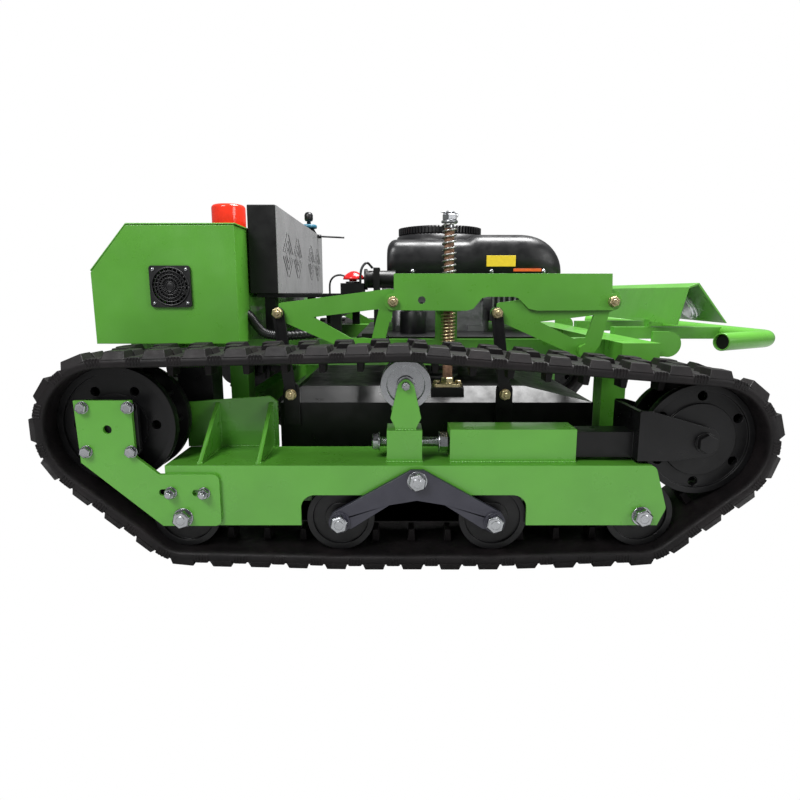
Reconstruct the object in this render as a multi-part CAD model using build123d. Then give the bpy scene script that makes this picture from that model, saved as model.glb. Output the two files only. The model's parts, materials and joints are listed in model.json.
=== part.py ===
from build123d import *
import math
import os

# Remote-controlled tracked mower: rubber-track chassis with a lifted cutting deck.
# Millimetres.  +X is the front (bumper end), +Y is the left side, +Z is up,
# and Z = 0 is the ground under the track lugs.
os.makedirs("parts", exist_ok=True)

# ---- driving dimensions ----
TRACK_Y = 570.0            # centre of each track from the centre plane
TRACK_WIDTH = 180.0
BELT_THICK = 20.0
LUG_HEIGHT = 12.0          # tread lugs outside the belt
GUIDE_HEIGHT = 24.0        # drive lugs inside the belt
GUIDE_WIDTH = 40.0
BELT_CUTS = (-800, -738, -700, -640, -560, -470, -300, -60, 180, 360, 450, 520, 570, 602, 650)
BELT_MIDDLE = 235.0         # height that parts the belt's upper and lower runs
LUG_PITCH = 72.0
BELT_GAP = 0.6             # clearance between the belt and the wheels
SPROCKET = (-627.0, 276.0, 112.0)
REAR_ROLLER = (-498.0, 105.6, 65.0)
BOGIE_ROLLERS = ((-203.0, 97.6, 65.0), (89.0, 97.6, 65.0))
FRONT_ROLLER = (370.0, 105.6, 65.0)
IDLER = (481.0, 248.0, 107.0)
CARRIER = (-78.0, 352.0, 48.0)
SPROCKET_PINS = 11
WEB_OUT = 642.0            # outer face of the track frame channel
WEB_IN = 502.0
WALL = 6.0
FRAME_TOP = 205.0
FRAME_LOW = 87.0
RAIL_Y = 314.0             # centre of the 60 mm chassis rails
RAIL_Z = 388.0
PIVOT = (-57.0, 179.0)     # bogie rocker pivot
IDLER_TRAVEL = 12.0        # tensioner travel towards the rear
CRANK_X = (-162.0, 303.0)  # lift crank pivots, rear and front
CRANK_Z = 402.0
LINK_PIN = (-186.0, 79.0)  # deck link pin, from the crank pivot
BAR_PIN = (58.0, 103.0)    # lift bar pin, from the crank pivot
CRANK_Y = 432.0            # centre of the crank plates
CRANK_WINDOWS = (((-112, 70), (28, 87), (12, 24), (-6, 26), (-30, 24)),
                 ((-92, 60), (22, 74), (8, 26), (-6, 26), (-18, 24)))
BAR_Y = 442.0              # centre of the lift bars and links
DECK_DROP = 175.0          # deck ear hole below the link pin
DECK_TOP = 316.0
DECK_LOW = 60.0
DECK_HALF_Y = 428.0
DECK_X = (-354.0, 338.0)
SPINDLE = (-8.0, 215.0)
CRANKSHAFT_X = 22.0
ENGINE_BASE = 424.0
ROD = (17.0, -399.0)       # spring rod axis
BOX_X = (-724.0, -425.0)
BOX_Z = (418.0, 660.0)
BOX_HALF_Y = 470.0
BOX_CHAMFER = (-643.0, 564.0)
GRILLE_X = (-421.0, -357.0)
GRILLE_Z = (521.0, 711.0)
GRILLE_HALF_Y = 378.0
BEAM_X = (383.0, 464.0)
BUMPER_Z = 421.0
BUMPER_FRONT = 771.6


# ---- helpers ----
def block(x, y, z):
    """Box from its two corners on each axis."""
    size = (abs(x[1] - x[0]), abs(y[1] - y[0]), abs(z[1] - z[0]))
    centre = ((x[0] + x[1]) / 2, (y[0] + y[1]) / 2, (z[0] + z[1]) / 2)
    return Pos(*centre) * Box(*size)


def rod_x(x, y, z, radius):
    return Pos((x[0] + x[1]) / 2, y, z) * Rot(0, 90, 0) * Cylinder(radius, abs(x[1] - x[0]))


def rod_y(x, y, z, radius):
    return Pos(x, (y[0] + y[1]) / 2, z) * Rot(90, 0, 0) * Cylinder(radius, abs(y[1] - y[0]))


def rod_z(x, y, z, radius):
    return Pos(x, y, (z[0] + z[1]) / 2) * Cylinder(radius, abs(z[1] - z[0]))


def hex_y(x, y, z, across):
    """Hexagon nut or head along Y, given its size across the flats."""
    sides = [Rot(0, 60 * k, 0) * Box(across, abs(y[1] - y[0]), across / math.sqrt(3)) for k in range(3)]
    return Pos(x, (y[0] + y[1]) / 2, z) * (sides[0] + sides[1] + sides[2])


def hex_x(x, y, z, across):
    sides = [Rot(60 * k, 0, 0) * Box(abs(x[1] - x[0]), across, across / math.sqrt(3)) for k in range(3)]
    return Pos((x[0] + x[1]) / 2, y, z) * (sides[0] + sides[1] + sides[2])


def plate_y(points, y):
    """Flat plate in the XZ plane between two Y values."""
    face = Plane.XZ * make_face(Polyline(*points, close=True))
    return Pos(0, max(y), 0) * extrude(face, abs(y[1] - y[0]))


def plate_x(points, x):
    """Flat plate in the YZ plane between two X values."""
    face = Plane.YZ * make_face(Polyline(*points, close=True))
    return Pos(min(x), 0, 0) * extrude(face, abs(x[1] - x[0]))


def rounded(shape, radius, where):
    """Fillet the edges along Y whose (x, z) is in the list."""
    edges = [e for e in shape.edges().filter_by(Axis.Y)
             if any(math.hypot(e.center().X - p[0], e.center().Z - p[1]) < 2 for p in where)]
    return fillet(edges, radius)


def mirror_y(shape):
    return mirror(shape, about=Plane.XZ)


def group(shapes):
    """Several separate solids in one node."""
    solids = []
    for shape in shapes:
        solids.extend(shape.solids())
    return Compound(children=solids)


def tube_z(x, y, z, outer, inner):
    return rod_z(x, y, z, outer) - rod_z(x, y, (z[0] - 1, z[1] + 1), inner)


def tube_y(x, y, z, outer, inner):
    return rod_y(x, y, z, outer) - rod_y(x, (y[0] - 1, y[1] + 1), z, inner)


def save(name, shape):
    export_step(shape, f"parts/{name}.step")


def save_pair(name, right):
    """The right piece is on -Y and the left one is its mirror image."""
    save(f"{name}_right", right)
    save(f"{name}_left", mirror_y(right))


# ---- track belt ----
LOOP = [SPROCKET, CARRIER, IDLER, FRONT_ROLLER, BOGIE_ROLLERS[1], BOGIE_ROLLERS[0], REAR_ROLLER]


def tangent_points(first, second, grow):
    """Outer tangent of two circles, on the left of the way from second to first."""
    dx, dz = second[0] - first[0], second[1] - first[1]
    length = math.hypot(dx, dz)
    lean = math.asin((first[2] - second[2]) / length)
    angle = math.atan2(dz, dx) + math.pi / 2 - lean
    ux, uz = math.cos(angle), math.sin(angle)
    return ((first[0] + (first[2] + grow) * ux, first[1] + (first[2] + grow) * uz),
            (second[0] + (second[2] + grow) * ux, second[1] + (second[2] + grow) * uz))


def belt_path(grow):
    """Straight runs and arcs of the belt, grown outwards from the wheel rims."""
    count = len(LOOP)
    runs = [tangent_points(LOOP[k], LOOP[(k + 1) % count], grow) for k in range(count)]
    pieces = []
    for k in range(count):
        start, end = runs[k]
        following = runs[(k + 1) % count][0]
        wheel = LOOP[(k + 1) % count]
        a0 = math.atan2(end[1] - wheel[1], end[0] - wheel[0])
        a1 = math.atan2(following[1] - wheel[1], following[0] - wheel[0])
        turn = (a0 - a1) % (2 * math.pi)
        pieces.append(("line", start, end, math.dist(start, end)))
        pieces.append(("arc", wheel, a0, turn, wheel[2] + grow))
    return pieces


def belt_face(grow):
    edges = []
    for piece in belt_path(grow):
        if piece[0] == "line":
            edges.append(Line(piece[1], piece[2]))
        elif piece[3] > 1e-4:
            _, wheel, a0, turn, radius = piece
            ends = [(wheel[0] + radius * math.cos(a), wheel[1] + radius * math.sin(a))
                    for a in (a0, a0 - turn / 2, a0 - turn)]
            edges.append(ThreePointArc(*ends))
    return make_face(Wire(edges))


def belt_stations(grow):
    """Evenly spaced places on the belt: x, z and the outward angle, the first at the back."""
    pieces = belt_path(grow)
    lengths = [p[3] if p[0] == "line" else p[3] * p[4] for p in pieces]
    total = sum(lengths)
    count = round(total / LUG_PITCH)
    _, _, first_angle, turn, radius = pieces[-1]
    start = total - (math.pi - first_angle + turn) % (2 * math.pi) * radius
    places = []
    for k in range(count):
        s = (start + k * total / count) % total
        index = 0
        while s > lengths[index]:
            s -= lengths[index]
            index += 1
        piece = pieces[index]
        if piece[0] == "line":
            (x0, z0), (x1, z1) = piece[1], piece[2]
            share = s / lengths[index]
            angle = math.atan2(x0 - x1, z1 - z0) + math.pi
            places.append((x0 + share * (x1 - x0), z0 + share * (z1 - z0), angle))
        else:
            angle = piece[2] - s / piece[4]
            places.append((piece[1][0] + piece[4] * math.cos(angle),
                           piece[1][1] + piece[4] * math.sin(angle), angle))
    return places


def track_belt():
    band = extrude(Plane.XZ * (belt_face(BELT_GAP + BELT_THICK) - belt_face(BELT_GAP)), TRACK_WIDTH)
    band = Pos(0, -TRACK_Y + TRACK_WIDTH / 2, 0) * band
    lugs = []
    middle = BELT_GAP + BELT_THICK / 2
    for x, z, angle in belt_stations(middle):
        turn = Pos(x, -TRACK_Y, z) * Rot(0, -math.degrees(angle), 0)
        out = BELT_THICK / 2
        lugs.append(turn * Pos(out + LUG_HEIGHT / 2 - 1, 0, 0) * Box(LUG_HEIGHT + 2, TRACK_WIDTH - 2, 34))
        lugs.append(turn * Pos(-out - GUIDE_HEIGHT / 2 + 1, 0, 0) * Box(GUIDE_HEIGHT + 2, GUIDE_WIDTH, 16))
    belt = band.fuse(*lugs)
    stretches = []
    for start, end in zip(BELT_CUTS, BELT_CUTS[1:]):
        for z in ((-50, BELT_MIDDLE), (BELT_MIDDLE, 500)):
            stretches = stretches + (belt & block((start, end), (-700, -440), z)).solids()
    return group(stretches)


# ---- wheels ----
def roller(place, half, groove, hub, bore, shrink=0.0):
    """Double-flanged roller: two rims with a groove for the drive lugs."""
    x, z, radius = place
    wheel = rod_y(x, (-TRACK_Y - half, -TRACK_Y + half), z, hub)
    for side in (-1, 1):
        near = -TRACK_Y + side * groove
        far = -TRACK_Y + side * half
        rim = rod_y(x, (near, far), z, radius - shrink)
        dish = rod_y(x, (far - side * 6, far + side), z, radius - 12) - rod_y(x, (near, far + side), z, hub)
        wheel = wheel + (rim - dish)
    return wheel - rod_y(x, (-TRACK_Y - half - 1, -TRACK_Y + half + 1), z, bore)


def sprocket():
    x, z, radius = SPROCKET
    wheel = roller(SPROCKET, 45, 25, 60, 15.3)
    pins = []
    for k in range(SPROCKET_PINS):
        angle = math.pi + (k + 0.5) * 2 * math.pi / SPROCKET_PINS
        px, pz = x + (radius - 16) * math.cos(angle), z + (radius - 16) * math.sin(angle)
        pins.append(rod_y(px, (-TRACK_Y - 26, -TRACK_Y + 26), pz, 5.5))
    windows = [rod_y(x + 74 * math.cos(a), (-TRACK_Y - 50, -TRACK_Y + 50), z + 74 * math.sin(a), 9)
               for a in [k * math.pi / 3 for k in range(6)]]
    return (wheel - windows).fuse(*pins)


def idler():
    x, z, radius = IDLER
    wheel = roller(IDLER, 45, 25, 70, 15.3)
    holes = [rod_y(x + 84 * math.cos(a), (-TRACK_Y - 50, -TRACK_Y + 50), z + 84 * math.sin(a), 9)
             for a in [k * math.pi / 3 + 0.5 for k in range(6)]]
    return wheel - holes


def axle_set(x, z, head_y, tail_y, radius, across):
    """Axle bolt with a head and washer outside and a nut inside."""
    bolt = rod_y(x, (head_y, tail_y), z, radius)
    bolt = bolt + hex_y(x, (head_y - 14, head_y), z, across) + hex_y(x, (tail_y, tail_y + 12), z, across)
    return bolt + rod_y(x, (head_y - 3, head_y), z, across * 0.68)


# ---- track frame ----
CUT_OUT = ((-277.0, 80.0), (-277.0, 147.0), (151.0, 147.0), (151.0, 80.0))


def track_frame():
    side = [(-530, FRAME_LOW), (-530, FRAME_TOP), (391, FRAME_TOP), (416, 121), (401, FRAME_LOW)]
    shell = plate_y(side, (-WEB_OUT, -WEB_IN))
    shell = rounded(shell, 14, [(391, FRAME_TOP), (416, 121)])
    inside = [(-540, FRAME_LOW - 1), (-540, FRAME_TOP - WALL), (380, FRAME_TOP - WALL),
              (430, FRAME_TOP - WALL), (430, FRAME_LOW - 1)]
    shell = shell - plate_y(inside, (-WEB_OUT + WALL, -WEB_IN - WALL))
    notch = rounded(plate_y(CUT_OUT, (-WEB_OUT - 1, -WEB_IN + 1)), 26, CUT_OUT[1:3])
    shell = shell - notch
    for x, z, _ in (REAR_ROLLER, FRONT_ROLLER):
        shell = shell - rod_y(x, (-WEB_OUT - 1, -WEB_IN + 1), z, 10.2)
    for x, z in STUDS:
        shell = shell - rod_y(x, (-WEB_OUT - 1, -WEB_OUT + WALL + 1), z, 6.1)
    notch_start = IDLER[0] - IDLER[2] - IDLER_TRAVEL - 2
    shell = shell - block((notch_start, notch_start + 120), (-622, -518), (FRAME_TOP - WALL - 12, FRAME_TOP + 1))
    shell = shell - rod_y(PIVOT[0], (-WEB_OUT - 1, -WEB_IN + 1), PIVOT[1], 12.2)
    walls = ((-WEB_OUT, -WEB_OUT + WALL), (-WEB_OUT + WALL, -WEB_IN - WALL), (-WEB_IN - WALL, -WEB_IN))
    plates = [shell & block((-600, 500), wall, (0, 300)) for wall in walls]
    return group(plates + [gusset_bracket()] + tensioner_guides() + carrier_cheeks())


BRACKET = (-534.0, -344.0)


def gusset_bracket():
    """Upright plate on the inner edge of the track frame with two triangular gussets."""
    back = plate_y([(BRACKET[0], FRAME_TOP), (BRACKET[0], 300), (BRACKET[1] - 16, 312),
                    (BRACKET[1], 300), (BRACKET[1], FRAME_TOP)], (-WEB_IN, -WEB_IN + 8))
    pieces = [back]
    for x in (-468.0, -357.0):
        pieces.append(plate_x([(-WEB_IN, 300), (-WEB_IN, FRAME_TOP), (-632, FRAME_TOP)], (x - 4, x + 4)))
    return back.fuse(*pieces[1:])


def bearing_plate():
    outline = [(-685, 330), (-580, 330), (-579, 224), (-538, 190), (-427, 190),
               (-427, 89), (-537, 89), (-681, 213)]
    plate = rounded(plate_y(outline, (-650, -WEB_OUT)), 12, [(-427, 190), (-427, 89)])
    x, z, _ = SPROCKET
    plate = plate - rod_y(x, (-651, -641), z, 8.25)
    for dx, dz in SQUARE:
        plate = plate - rod_y(x + dx, (-651, -641), z + dz, 6.3)
    for bx, bz in STUDS:
        slot = rod_y(bx, (-651, -641), bz, 6.5) + rod_y(bx - 16, (-651, -641), bz, 6.5)
        slot = slot + block((bx - 16, bx), (-651, -641), (bz - 6.5, bz + 6.5))
        plate = plate - slot
    return plate - rod_y(REAR_ROLLER[0], (-651, -641), REAR_ROLLER[1], 10.2)


SQUARE = [(sx * 41.5, sz * 41.5) for sx in (-1, 1) for sz in (-1, 1)]
STUDS = ((-518.0, 155.0), (-456.0, 154.0))


def bearing_bolts():
    x, z, _ = SPROCKET
    bolts = [rod_y(x + dx, (-664, -619), z + dz, 6)
             + hex_y(x + dx, (-661, -651.5), z + dz, 18) + rod_y(x + dx, (-651.5, -650), z + dz, 12)
             for dx, dz in SQUARE]
    for bx, bz in STUDS:
        bolts.append(rod_y(bx, (-668, -630), bz, 6) + hex_y(bx, (-662, -652), bz, 18)
                     + rod_y(bx, (-652, -650), bz, 12))
    return group(bolts)


def flange_bearing():
    """Four-bolt flange bearing behind the plate, round the end of the drive shaft."""
    x, z, _ = SPROCKET
    flange = block((x - 54, x + 54), (-WEB_OUT, -631), (z - 54, z + 54))
    flange = fillet(flange.edges().filter_by(Axis.Y), 14)
    body = flange + rod_y(x, (-WEB_OUT, -618), z, 34)
    body = body - rod_y(x, (-643, -617), z, 15.6)
    for dx, dz in SQUARE:
        body = body - rod_y(x + dx, (-643, -630), z + dz, 6.0)
    return body


def sprocket_shaft():
    x, z, _ = SPROCKET
    return rod_y(x, (-641, -478), z, 15.3)


def drive_gearbox():
    x, z, _ = SPROCKET
    body = block((x - 62, x + 70), (-478, -392), (z - 60, z + 60))
    body = fillet(body.edges().filter_by(Axis.Y), 18)
    flange = block((x - 56, x + 56), (-392, -384), (z - 56, z + 56))
    brake = block((x + 68, -486), (-470, -400), (244, 368))
    return body + flange + brake


def drive_motor():
    x, z, _ = SPROCKET
    can = rod_y(x, (-384, -214), z, 52) + rod_y(x, (-214, -196), z, 44)
    for k in range(7):
        can = can + rod_y(x, (-370 + k * 22, -362 + k * 22), z, 56)
    return can + block((x + 40, x + 74), (-330, -270), (z - 20, z + 30))


# ---- tensioner and carrier roller ----
def tensioner_guides():
    """Bolt block and square guide tube welded on the frame's top flange."""
    block_shape = block((-114, -47), (-620, -556), (FRAME_TOP, 267))
    guide = block((6, 246), (-620, -556), (FRAME_TOP, 269)) - block((5, 247), (-614.5, -561.5), (211.5, 264.5))
    return [block_shape - rod_x((-115, -46), -588, 238, 10.3), guide]


def tension_bolt():
    bolt = rod_x((-128, 56), -588, 238, 10) + hex_x((-142, -128), -588, 238, 30)
    bolt = bolt + rod_x((-128, -124), -588, 238, 17) + hex_x((-47, -31), -588, 238, 30)
    return bolt + hex_x((-20, -4), -588, 238, 30)


def idler_fork():
    slider = block((72, 356), (-613.5, -562.5), (213, 263)) - block((71, 352), (-608.5, -567.5), (218, 258))
    head = block((72, 78), (-613.5, -562.5), (213, 263))
    cross = block((356, 366), (-638, -502), (212, 306))
    arms = [plate_y([(358, 212), (358, 308), (376, 308), (497, 273), (507, 262), (507, 234),
                     (493, 222), (420, 212)], y) for y in ((-638, -630), (-510, -502))]
    body = slider + head + cross + arms[0] + arms[1]
    body = body - rod_y(IDLER[0], (-640, -500), IDLER[1], 15)
    return body - rod_y(180, (-620, -608), 238, 5)


def carrier_cheeks():
    """Two upright blades that carry the top roller."""
    x, z, _ = CARRIER
    cheeks = []
    for y, foot in (((-616, -608), 267), ((-532, -524), FRAME_TOP)):
        outline = [(x - 20, foot), (x - 20, 272), (x - 29, 290), (x - 15, z + 2),
                   (x, z + 16), (x + 15, z + 2), (x + 29, 290), (x + 20, 272), (x + 20, foot)]
        cheek = plate_y(outline, y)
        cheek = rounded(cheek, 10, [(x - 15, z + 2), (x + 15, z + 2), (x, z + 16)])
        cheeks.append(cheek - rod_y(x, (y[0] - 1, y[1] + 1), z, 8))
    return cheeks


# ---- bogie ----
def bogie_rocker():
    ends = BOGIE_ROLLERS
    plates = []
    for y in ((-654, -644), (-500, -490)):
        top = [(ends[0][0] - 16, 114), (PIVOT[0] - 12, 199), (PIVOT[0] + 12, 199), (ends[1][0] + 16, 114)]
        low = [(ends[1][0] + 18, 84), (ends[1][0] - 22, 84), (PIVOT[0] + 52, 131), (PIVOT[0], 140),
               (PIVOT[0] - 52, 131), (ends[0][0] + 22, 84), (ends[0][0] - 18, 84)]
        plate = plate_y(top + low, y)
        corners = [top[0], top[3], low[0], low[-1]]
        plate = rounded(plate, 13, corners)
        for x, z in (PIVOT, ends[0][:2], ends[1][:2]):
            plate = plate - rod_y(x, (y[0] - 1, y[1] + 1), z, 10.2 if x != PIVOT[0] else 12.3)
        plates.append(plate)
    sleeve = tube_y(PIVOT[0], (-634, -510), PIVOT[1], 17, 12.3)
    return group(plates + [sleeve])


def bogie_axles():
    return group([axle_set(x, z, -654, -490, 10, 30) for x, z, _ in BOGIE_ROLLERS])


def frame_axles():
    """Fixed axles of one track: end rollers, rocker pivot, carrier roller."""
    axles = [axle_set(REAR_ROLLER[0], REAR_ROLLER[1], -650, -502, 10, 30),
             axle_set(FRONT_ROLLER[0], FRONT_ROLLER[1], -642, -502, 10, 30)]
    pivot = rod_y(PIVOT[0], (-656, -488), PIVOT[1], 12)
    pivot = pivot + hex_y(PIVOT[0], (-668, -656), PIVOT[1], 30) + hex_y(PIVOT[0], (-488, -478), PIVOT[1], 30)
    carrier = rod_y(CARRIER[0], (-616, -524), CARRIER[1], 8)
    carrier = carrier + hex_y(CARRIER[0], (-626, -616), CARRIER[1], 18)
    carrier = carrier + hex_y(CARRIER[0], (-524, -514), CARRIER[1], 18)
    return group(axles + [pivot, carrier])


def idler_axle():
    x, z, _ = IDLER
    bolt = rod_y(x, (-638, -502), z, 15) + hex_y(x, (-652, -638), z, 32) + hex_y(x, (-502, -488), z, 32)
    return bolt + rod_y(x, (-641, -638), z, 20)


# ---- main frame ----
def main_frame():
    """Square-tube chassis; each bar is its own solid and meets its neighbours at a weld."""
    rail_low, rail_high = RAIL_Z - 30, RAIL_Z + 30
    bars = [block(BEAM_X, (-456, 456), (rail_low, rail_high)),
            block((-484, -443), (-494, 494), (220, 270)),
            block((383, 439), (-WEB_IN, WEB_IN), (140, 190)),
            block((-700, -660), (-RAIL_Y + 30, RAIL_Y - 30), (362, 414)),
            block((-420, -380), (-RAIL_Y + 30, RAIL_Y - 30), (368, 412))]
    right = [block((-710, BEAM_X[0]), (-RAIL_Y - 30, -RAIL_Y + 30), (rail_low, rail_high)),
             block((-484, -443), (-RAIL_Y - 30, -RAIL_Y + 30), (270, rail_low)),
             block((383, 439), (-RAIL_Y - 30, -RAIL_Y + 30), (190, rail_low))]
    for x in CRANK_X:
        right.append(rod_y(x, (-425, -RAIL_Y - 30), CRANK_Z, 18))
        right.append(rod_y(x, (-452, -425), CRANK_Z, 12))
    bars = bars + right + [mirror_y(bar) for bar in right]
    return group(bars + bumper_arms() + rod_bracket())


def engine_plate():
    plate = block((-190, 300), (-330, 330), (RAIL_Z + 30, ENGINE_BASE))
    return plate - rod_z(CRANKSHAFT_X, 0, (410, 430), 24)


def pivot_nuts():
    return group([hex_y(x, (side * 464, side * 452), CRANK_Z, 27) for side in (-1, 1) for x in CRANK_X])


# ---- lift linkage ----
def crank(x, window):
    """Triangular bell crank with a window; right side."""
    y = (-CRANK_Y - 4, -CRANK_Y + 4)
    outline = [(-190, 66), (-185, 99), (-178, 101), (52, 130), (72, 124), (78, 104), (74, 88),
               (55, 81), (39, 11), (22, -14), (-2, -18), (-18, -10), (-168, 56)]
    outline = [(x + dx, CRANK_Z + dz) for dx, dz in outline]
    plate = rounded(plate_y(outline, y), 8, [outline[k] for k in (3, 4, 5, 10)])
    plate = plate + rod_y(x + LINK_PIN[0], y, CRANK_Z + LINK_PIN[1], 12)
    window = [(x + dx, CRANK_Z + dz) for dx, dz in window]
    plate = plate - plate_y(window, (y[0] - 1, y[1] + 1))
    for (dx, dz), r in ((LINK_PIN, 8.3), (BAR_PIN, 8.3), ((0, 0), 12.3)):
        plate = plate - rod_y(x + dx, (y[0] - 1, y[1] + 1), CRANK_Z + dz, r)
    return plate


def crank_pins(x):
    """Yellow-zinc pivot bolts carried by one crank."""
    pins = []
    for dx, dz in (LINK_PIN, BAR_PIN):
        px, pz = x + dx, CRANK_Z + dz
        pin = rod_y(px, (-448, -428), pz, 8.3)
        pin = pin + rod_y(px, (-450, -448), pz, 10) + hex_y(px, (-456, -450), pz, 17)
        pins.append(pin + hex_y(px, (-428, -418), pz, 19))
    return group(pins)


def lift_bar():
    y = (-BAR_Y - 4, -BAR_Y + 4)
    rear, front = CRANK_X[0] + BAR_PIN[0], CRANK_X[1] + BAR_PIN[0]
    z = CRANK_Z + BAR_PIN[1]
    outline = [(rear + 2, 563), (front - 5, 563), (front - 3, z + 18), (front - 3, z - 18), (front - 160, 486), (front - 178, 490),
               (front - 200, 512), (front - 210, 515), (rear + 199, 515), (rear + 188, 512),
               (rear + 170, 490), (rear + 156, 486), (rear + 2, z - 18), (rear + 2, z + 18)]
    bar = plate_y(outline, y)
    for x in (rear, front):
        bar = bar + rod_y(x, y, z, 18)
        bar = bar - rod_y(x, (y[0] - 1, y[1] + 1), z, 8.6)
    return bar - rod_y(-43, (y[0] - 1, y[1] + 1), 508, 8)


def deck_links():
    links = []
    for side in (-1, 1):
        for x in CRANK_X:
            ax, az = x + LINK_PIN[0], CRANK_Z + LINK_PIN[1]
            dx, dz = ax + 22, az - DECK_DROP
            lean = math.atan2(dx - ax, az - dz)
            nx, nz = 12.5 * math.cos(lean), 12.5 * math.sin(lean)
            y = (side * (BAR_Y + 4), side * (BAR_Y - 4))
            link = plate_y([(ax - nx, az - nz), (ax + nx, az + nz), (dx + nx, dz + nz), (dx - nx, dz - nz)], y)
            for px, pz in ((ax, az), (dx, dz)):
                link = link + rod_y(px, y, pz, 12.5)
            link = link - rod_y(ax, (side * 450, side * 430), az, 8.6)
            links.append(link - rod_y(dx, (side * 450, side * 430), dz, 6))
    return group(links)


def deck_link_bolts():
    bolts = []
    for side in (-1, 1):
        for x in CRANK_X:
            dx, dz = x + LINK_PIN[0] + 22, CRANK_Z + LINK_PIN[1] - DECK_DROP
            bolt = rod_y(dx, (side * 446, side * 430), dz, 6)
            bolt = bolt + hex_y(dx, (side * 455, side * 446), dz, 18)
            bolts.append(bolt + hex_y(dx, (side * 430, side * 422), dz, 18))
    return group(bolts)


# ---- cutting deck ----
def deck_shell():
    """Open-bottomed deck with sloped shoulders."""
    def hull(inset, low):
        x0, x1 = DECK_X[0] + inset, DECK_X[1] - inset
        skirt = block((x0, x1), (-DECK_HALF_Y + inset, DECK_HALF_Y - inset), (low, 285 - inset))
        lower = Plane.XY.offset(285 - inset) * Pos((x0 + x1) / 2, 0) * Rectangle(x1 - x0, 2 * (DECK_HALF_Y - inset))
        upper = Plane.XY.offset(DECK_TOP - inset) * Pos(-60, 0) * Rectangle(x1 - x0 - 190, 2 * (DECK_HALF_Y - inset - 40))
        return skirt + loft([lower.face(), upper.face()])
    shell = hull(0, DECK_LOW) - hull(5, DECK_LOW - 5)
    shell = shell + block((ROD[0] - 36, ROD[0] + 36), (ROD[1] - 16, -340), (292, DECK_TOP))
    shell = shell - block((DECK_X[0] + 60, DECK_X[1] - 60), (DECK_HALF_Y - 8, DECK_HALF_Y + 1), (DECK_LOW - 1, 190))
    for side in (-1, 1):
        for x in CRANK_X:
            dx, dz = x + LINK_PIN[0] + 22, CRANK_Z + LINK_PIN[1] - DECK_DROP
            ear = block((dx - 18, dx + 18), (side * 438, side * 430), (dz - 70, dz + 8)) + \
                rod_y(dx, (side * 438, side * 430), dz + 8, 18)
            ear = ear + block((dx - 18, dx + 18), (side * 430, side * 427), (dz - 70, 280))
            shell = shell + (ear - rod_y(dx, (side * 439, side * 426), dz, 6))
        shell = shell - rod_z(SPINDLE[0], side * SPINDLE[1], (280, 330), 34)
    return shell


def spindle_housing():
    houses = []
    for side in (-1, 1):
        y = side * SPINDLE[1]
        house = rod_z(SPINDLE[0], y, (250, 334), 34) + rod_z(SPINDLE[0], y, (DECK_TOP, 324), 66)
        houses.append(house - rod_z(SPINDLE[0], y, (240, 340), 12.5))
    return group(houses)


def blade_set(side):
    """Spindle shaft with its cutting bar and pulley."""
    y = side * SPINDLE[1]
    shaft = rod_z(SPINDLE[0], y, (78, 372), 12.2) + rod_z(SPINDLE[0], y, (98, 240), 22)
    bar = block((SPINDLE[0] - 200, SPINDLE[0] + 200), (y - 28, y + 28), (90, 98))
    return shaft + bar + hex_z(SPINDLE[0], y, (74, 90), 34) + v_pulley(SPINDLE[0], y, PULLEY_Z, 50)


def hex_z(x, y, z, across):
    sides = [Rot(0, 0, 60 * k) * Box(across, across / math.sqrt(3), abs(z[1] - z[0])) for k in range(3)]
    return Pos(x, y, (z[0] + z[1]) / 2) * (sides[0] + sides[1] + sides[2])


def v_pulley(x, y, z, radius):
    rims = rod_z(x, y, (z - 10, z - 6), radius + 7) + rod_z(x, y, (z + 6, z + 10), radius + 7)
    return rims + rod_z(x, y, (z - 10, z + 10), radius)


PULLEY_Z = 360.0


def drive_belt():
    """V-belt round the engine pulley and the two deck pulleys."""
    def loop(grow):
        discs = [Pos(CRANKSHAFT_X, 0) * Circle(62 + grow)]
        discs = discs + [Pos(SPINDLE[0], s * SPINDLE[1]) * Circle(50 + grow) for s in (-1, 1)]
        return make_hull((discs[0] + discs[1] + discs[2]).edges())
    return Pos(0, 0, PULLEY_Z - 5) * extrude(loop(10.0) - loop(0.6), 10)


# ---- spring rod ----
def spring_rod():
    x, y = ROD
    foot = block((x - 33, x + 33), (y - 13, y + 13), (DECK_TOP, 324))
    foot = fillet(foot.edges().filter_by(Axis.Z), 12)
    rod = rod_z(x, y, (DECK_TOP, 694), 9) + foot
    rod = rod + hex_z(x, y, (676, 690), 28) + rod_z(x, y, (672, 676), 18)
    return rod + hex_z(x, y, (324, 336), 26) + rod_z(x, y, (400, 404), 18)


def rod_springs():
    x, y = ROD
    upper = tube_z(x, y, (494, 672), 15.5, 10.5)
    lower = tube_z(x, y, (404, 481), 15.5, 10.5)
    return group([upper, lower])


def rod_bracket():
    """Arm on the chassis rail; the rod slides through its slot."""
    arm = block((-8, 42), (-424, -330), (484, 491))
    slot = rod_z(ROD[0] - 14, ROD[1], (480, 495), 11) + rod_z(ROD[0] + 14, ROD[1], (480, 495), 11)
    slot = slot + block((ROD[0] - 14, ROD[0] + 14), (ROD[1] - 11, ROD[1] + 11), (480, 495))
    return [arm - slot, block((-8, 42), (-344, -336), (418, 484))]


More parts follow.
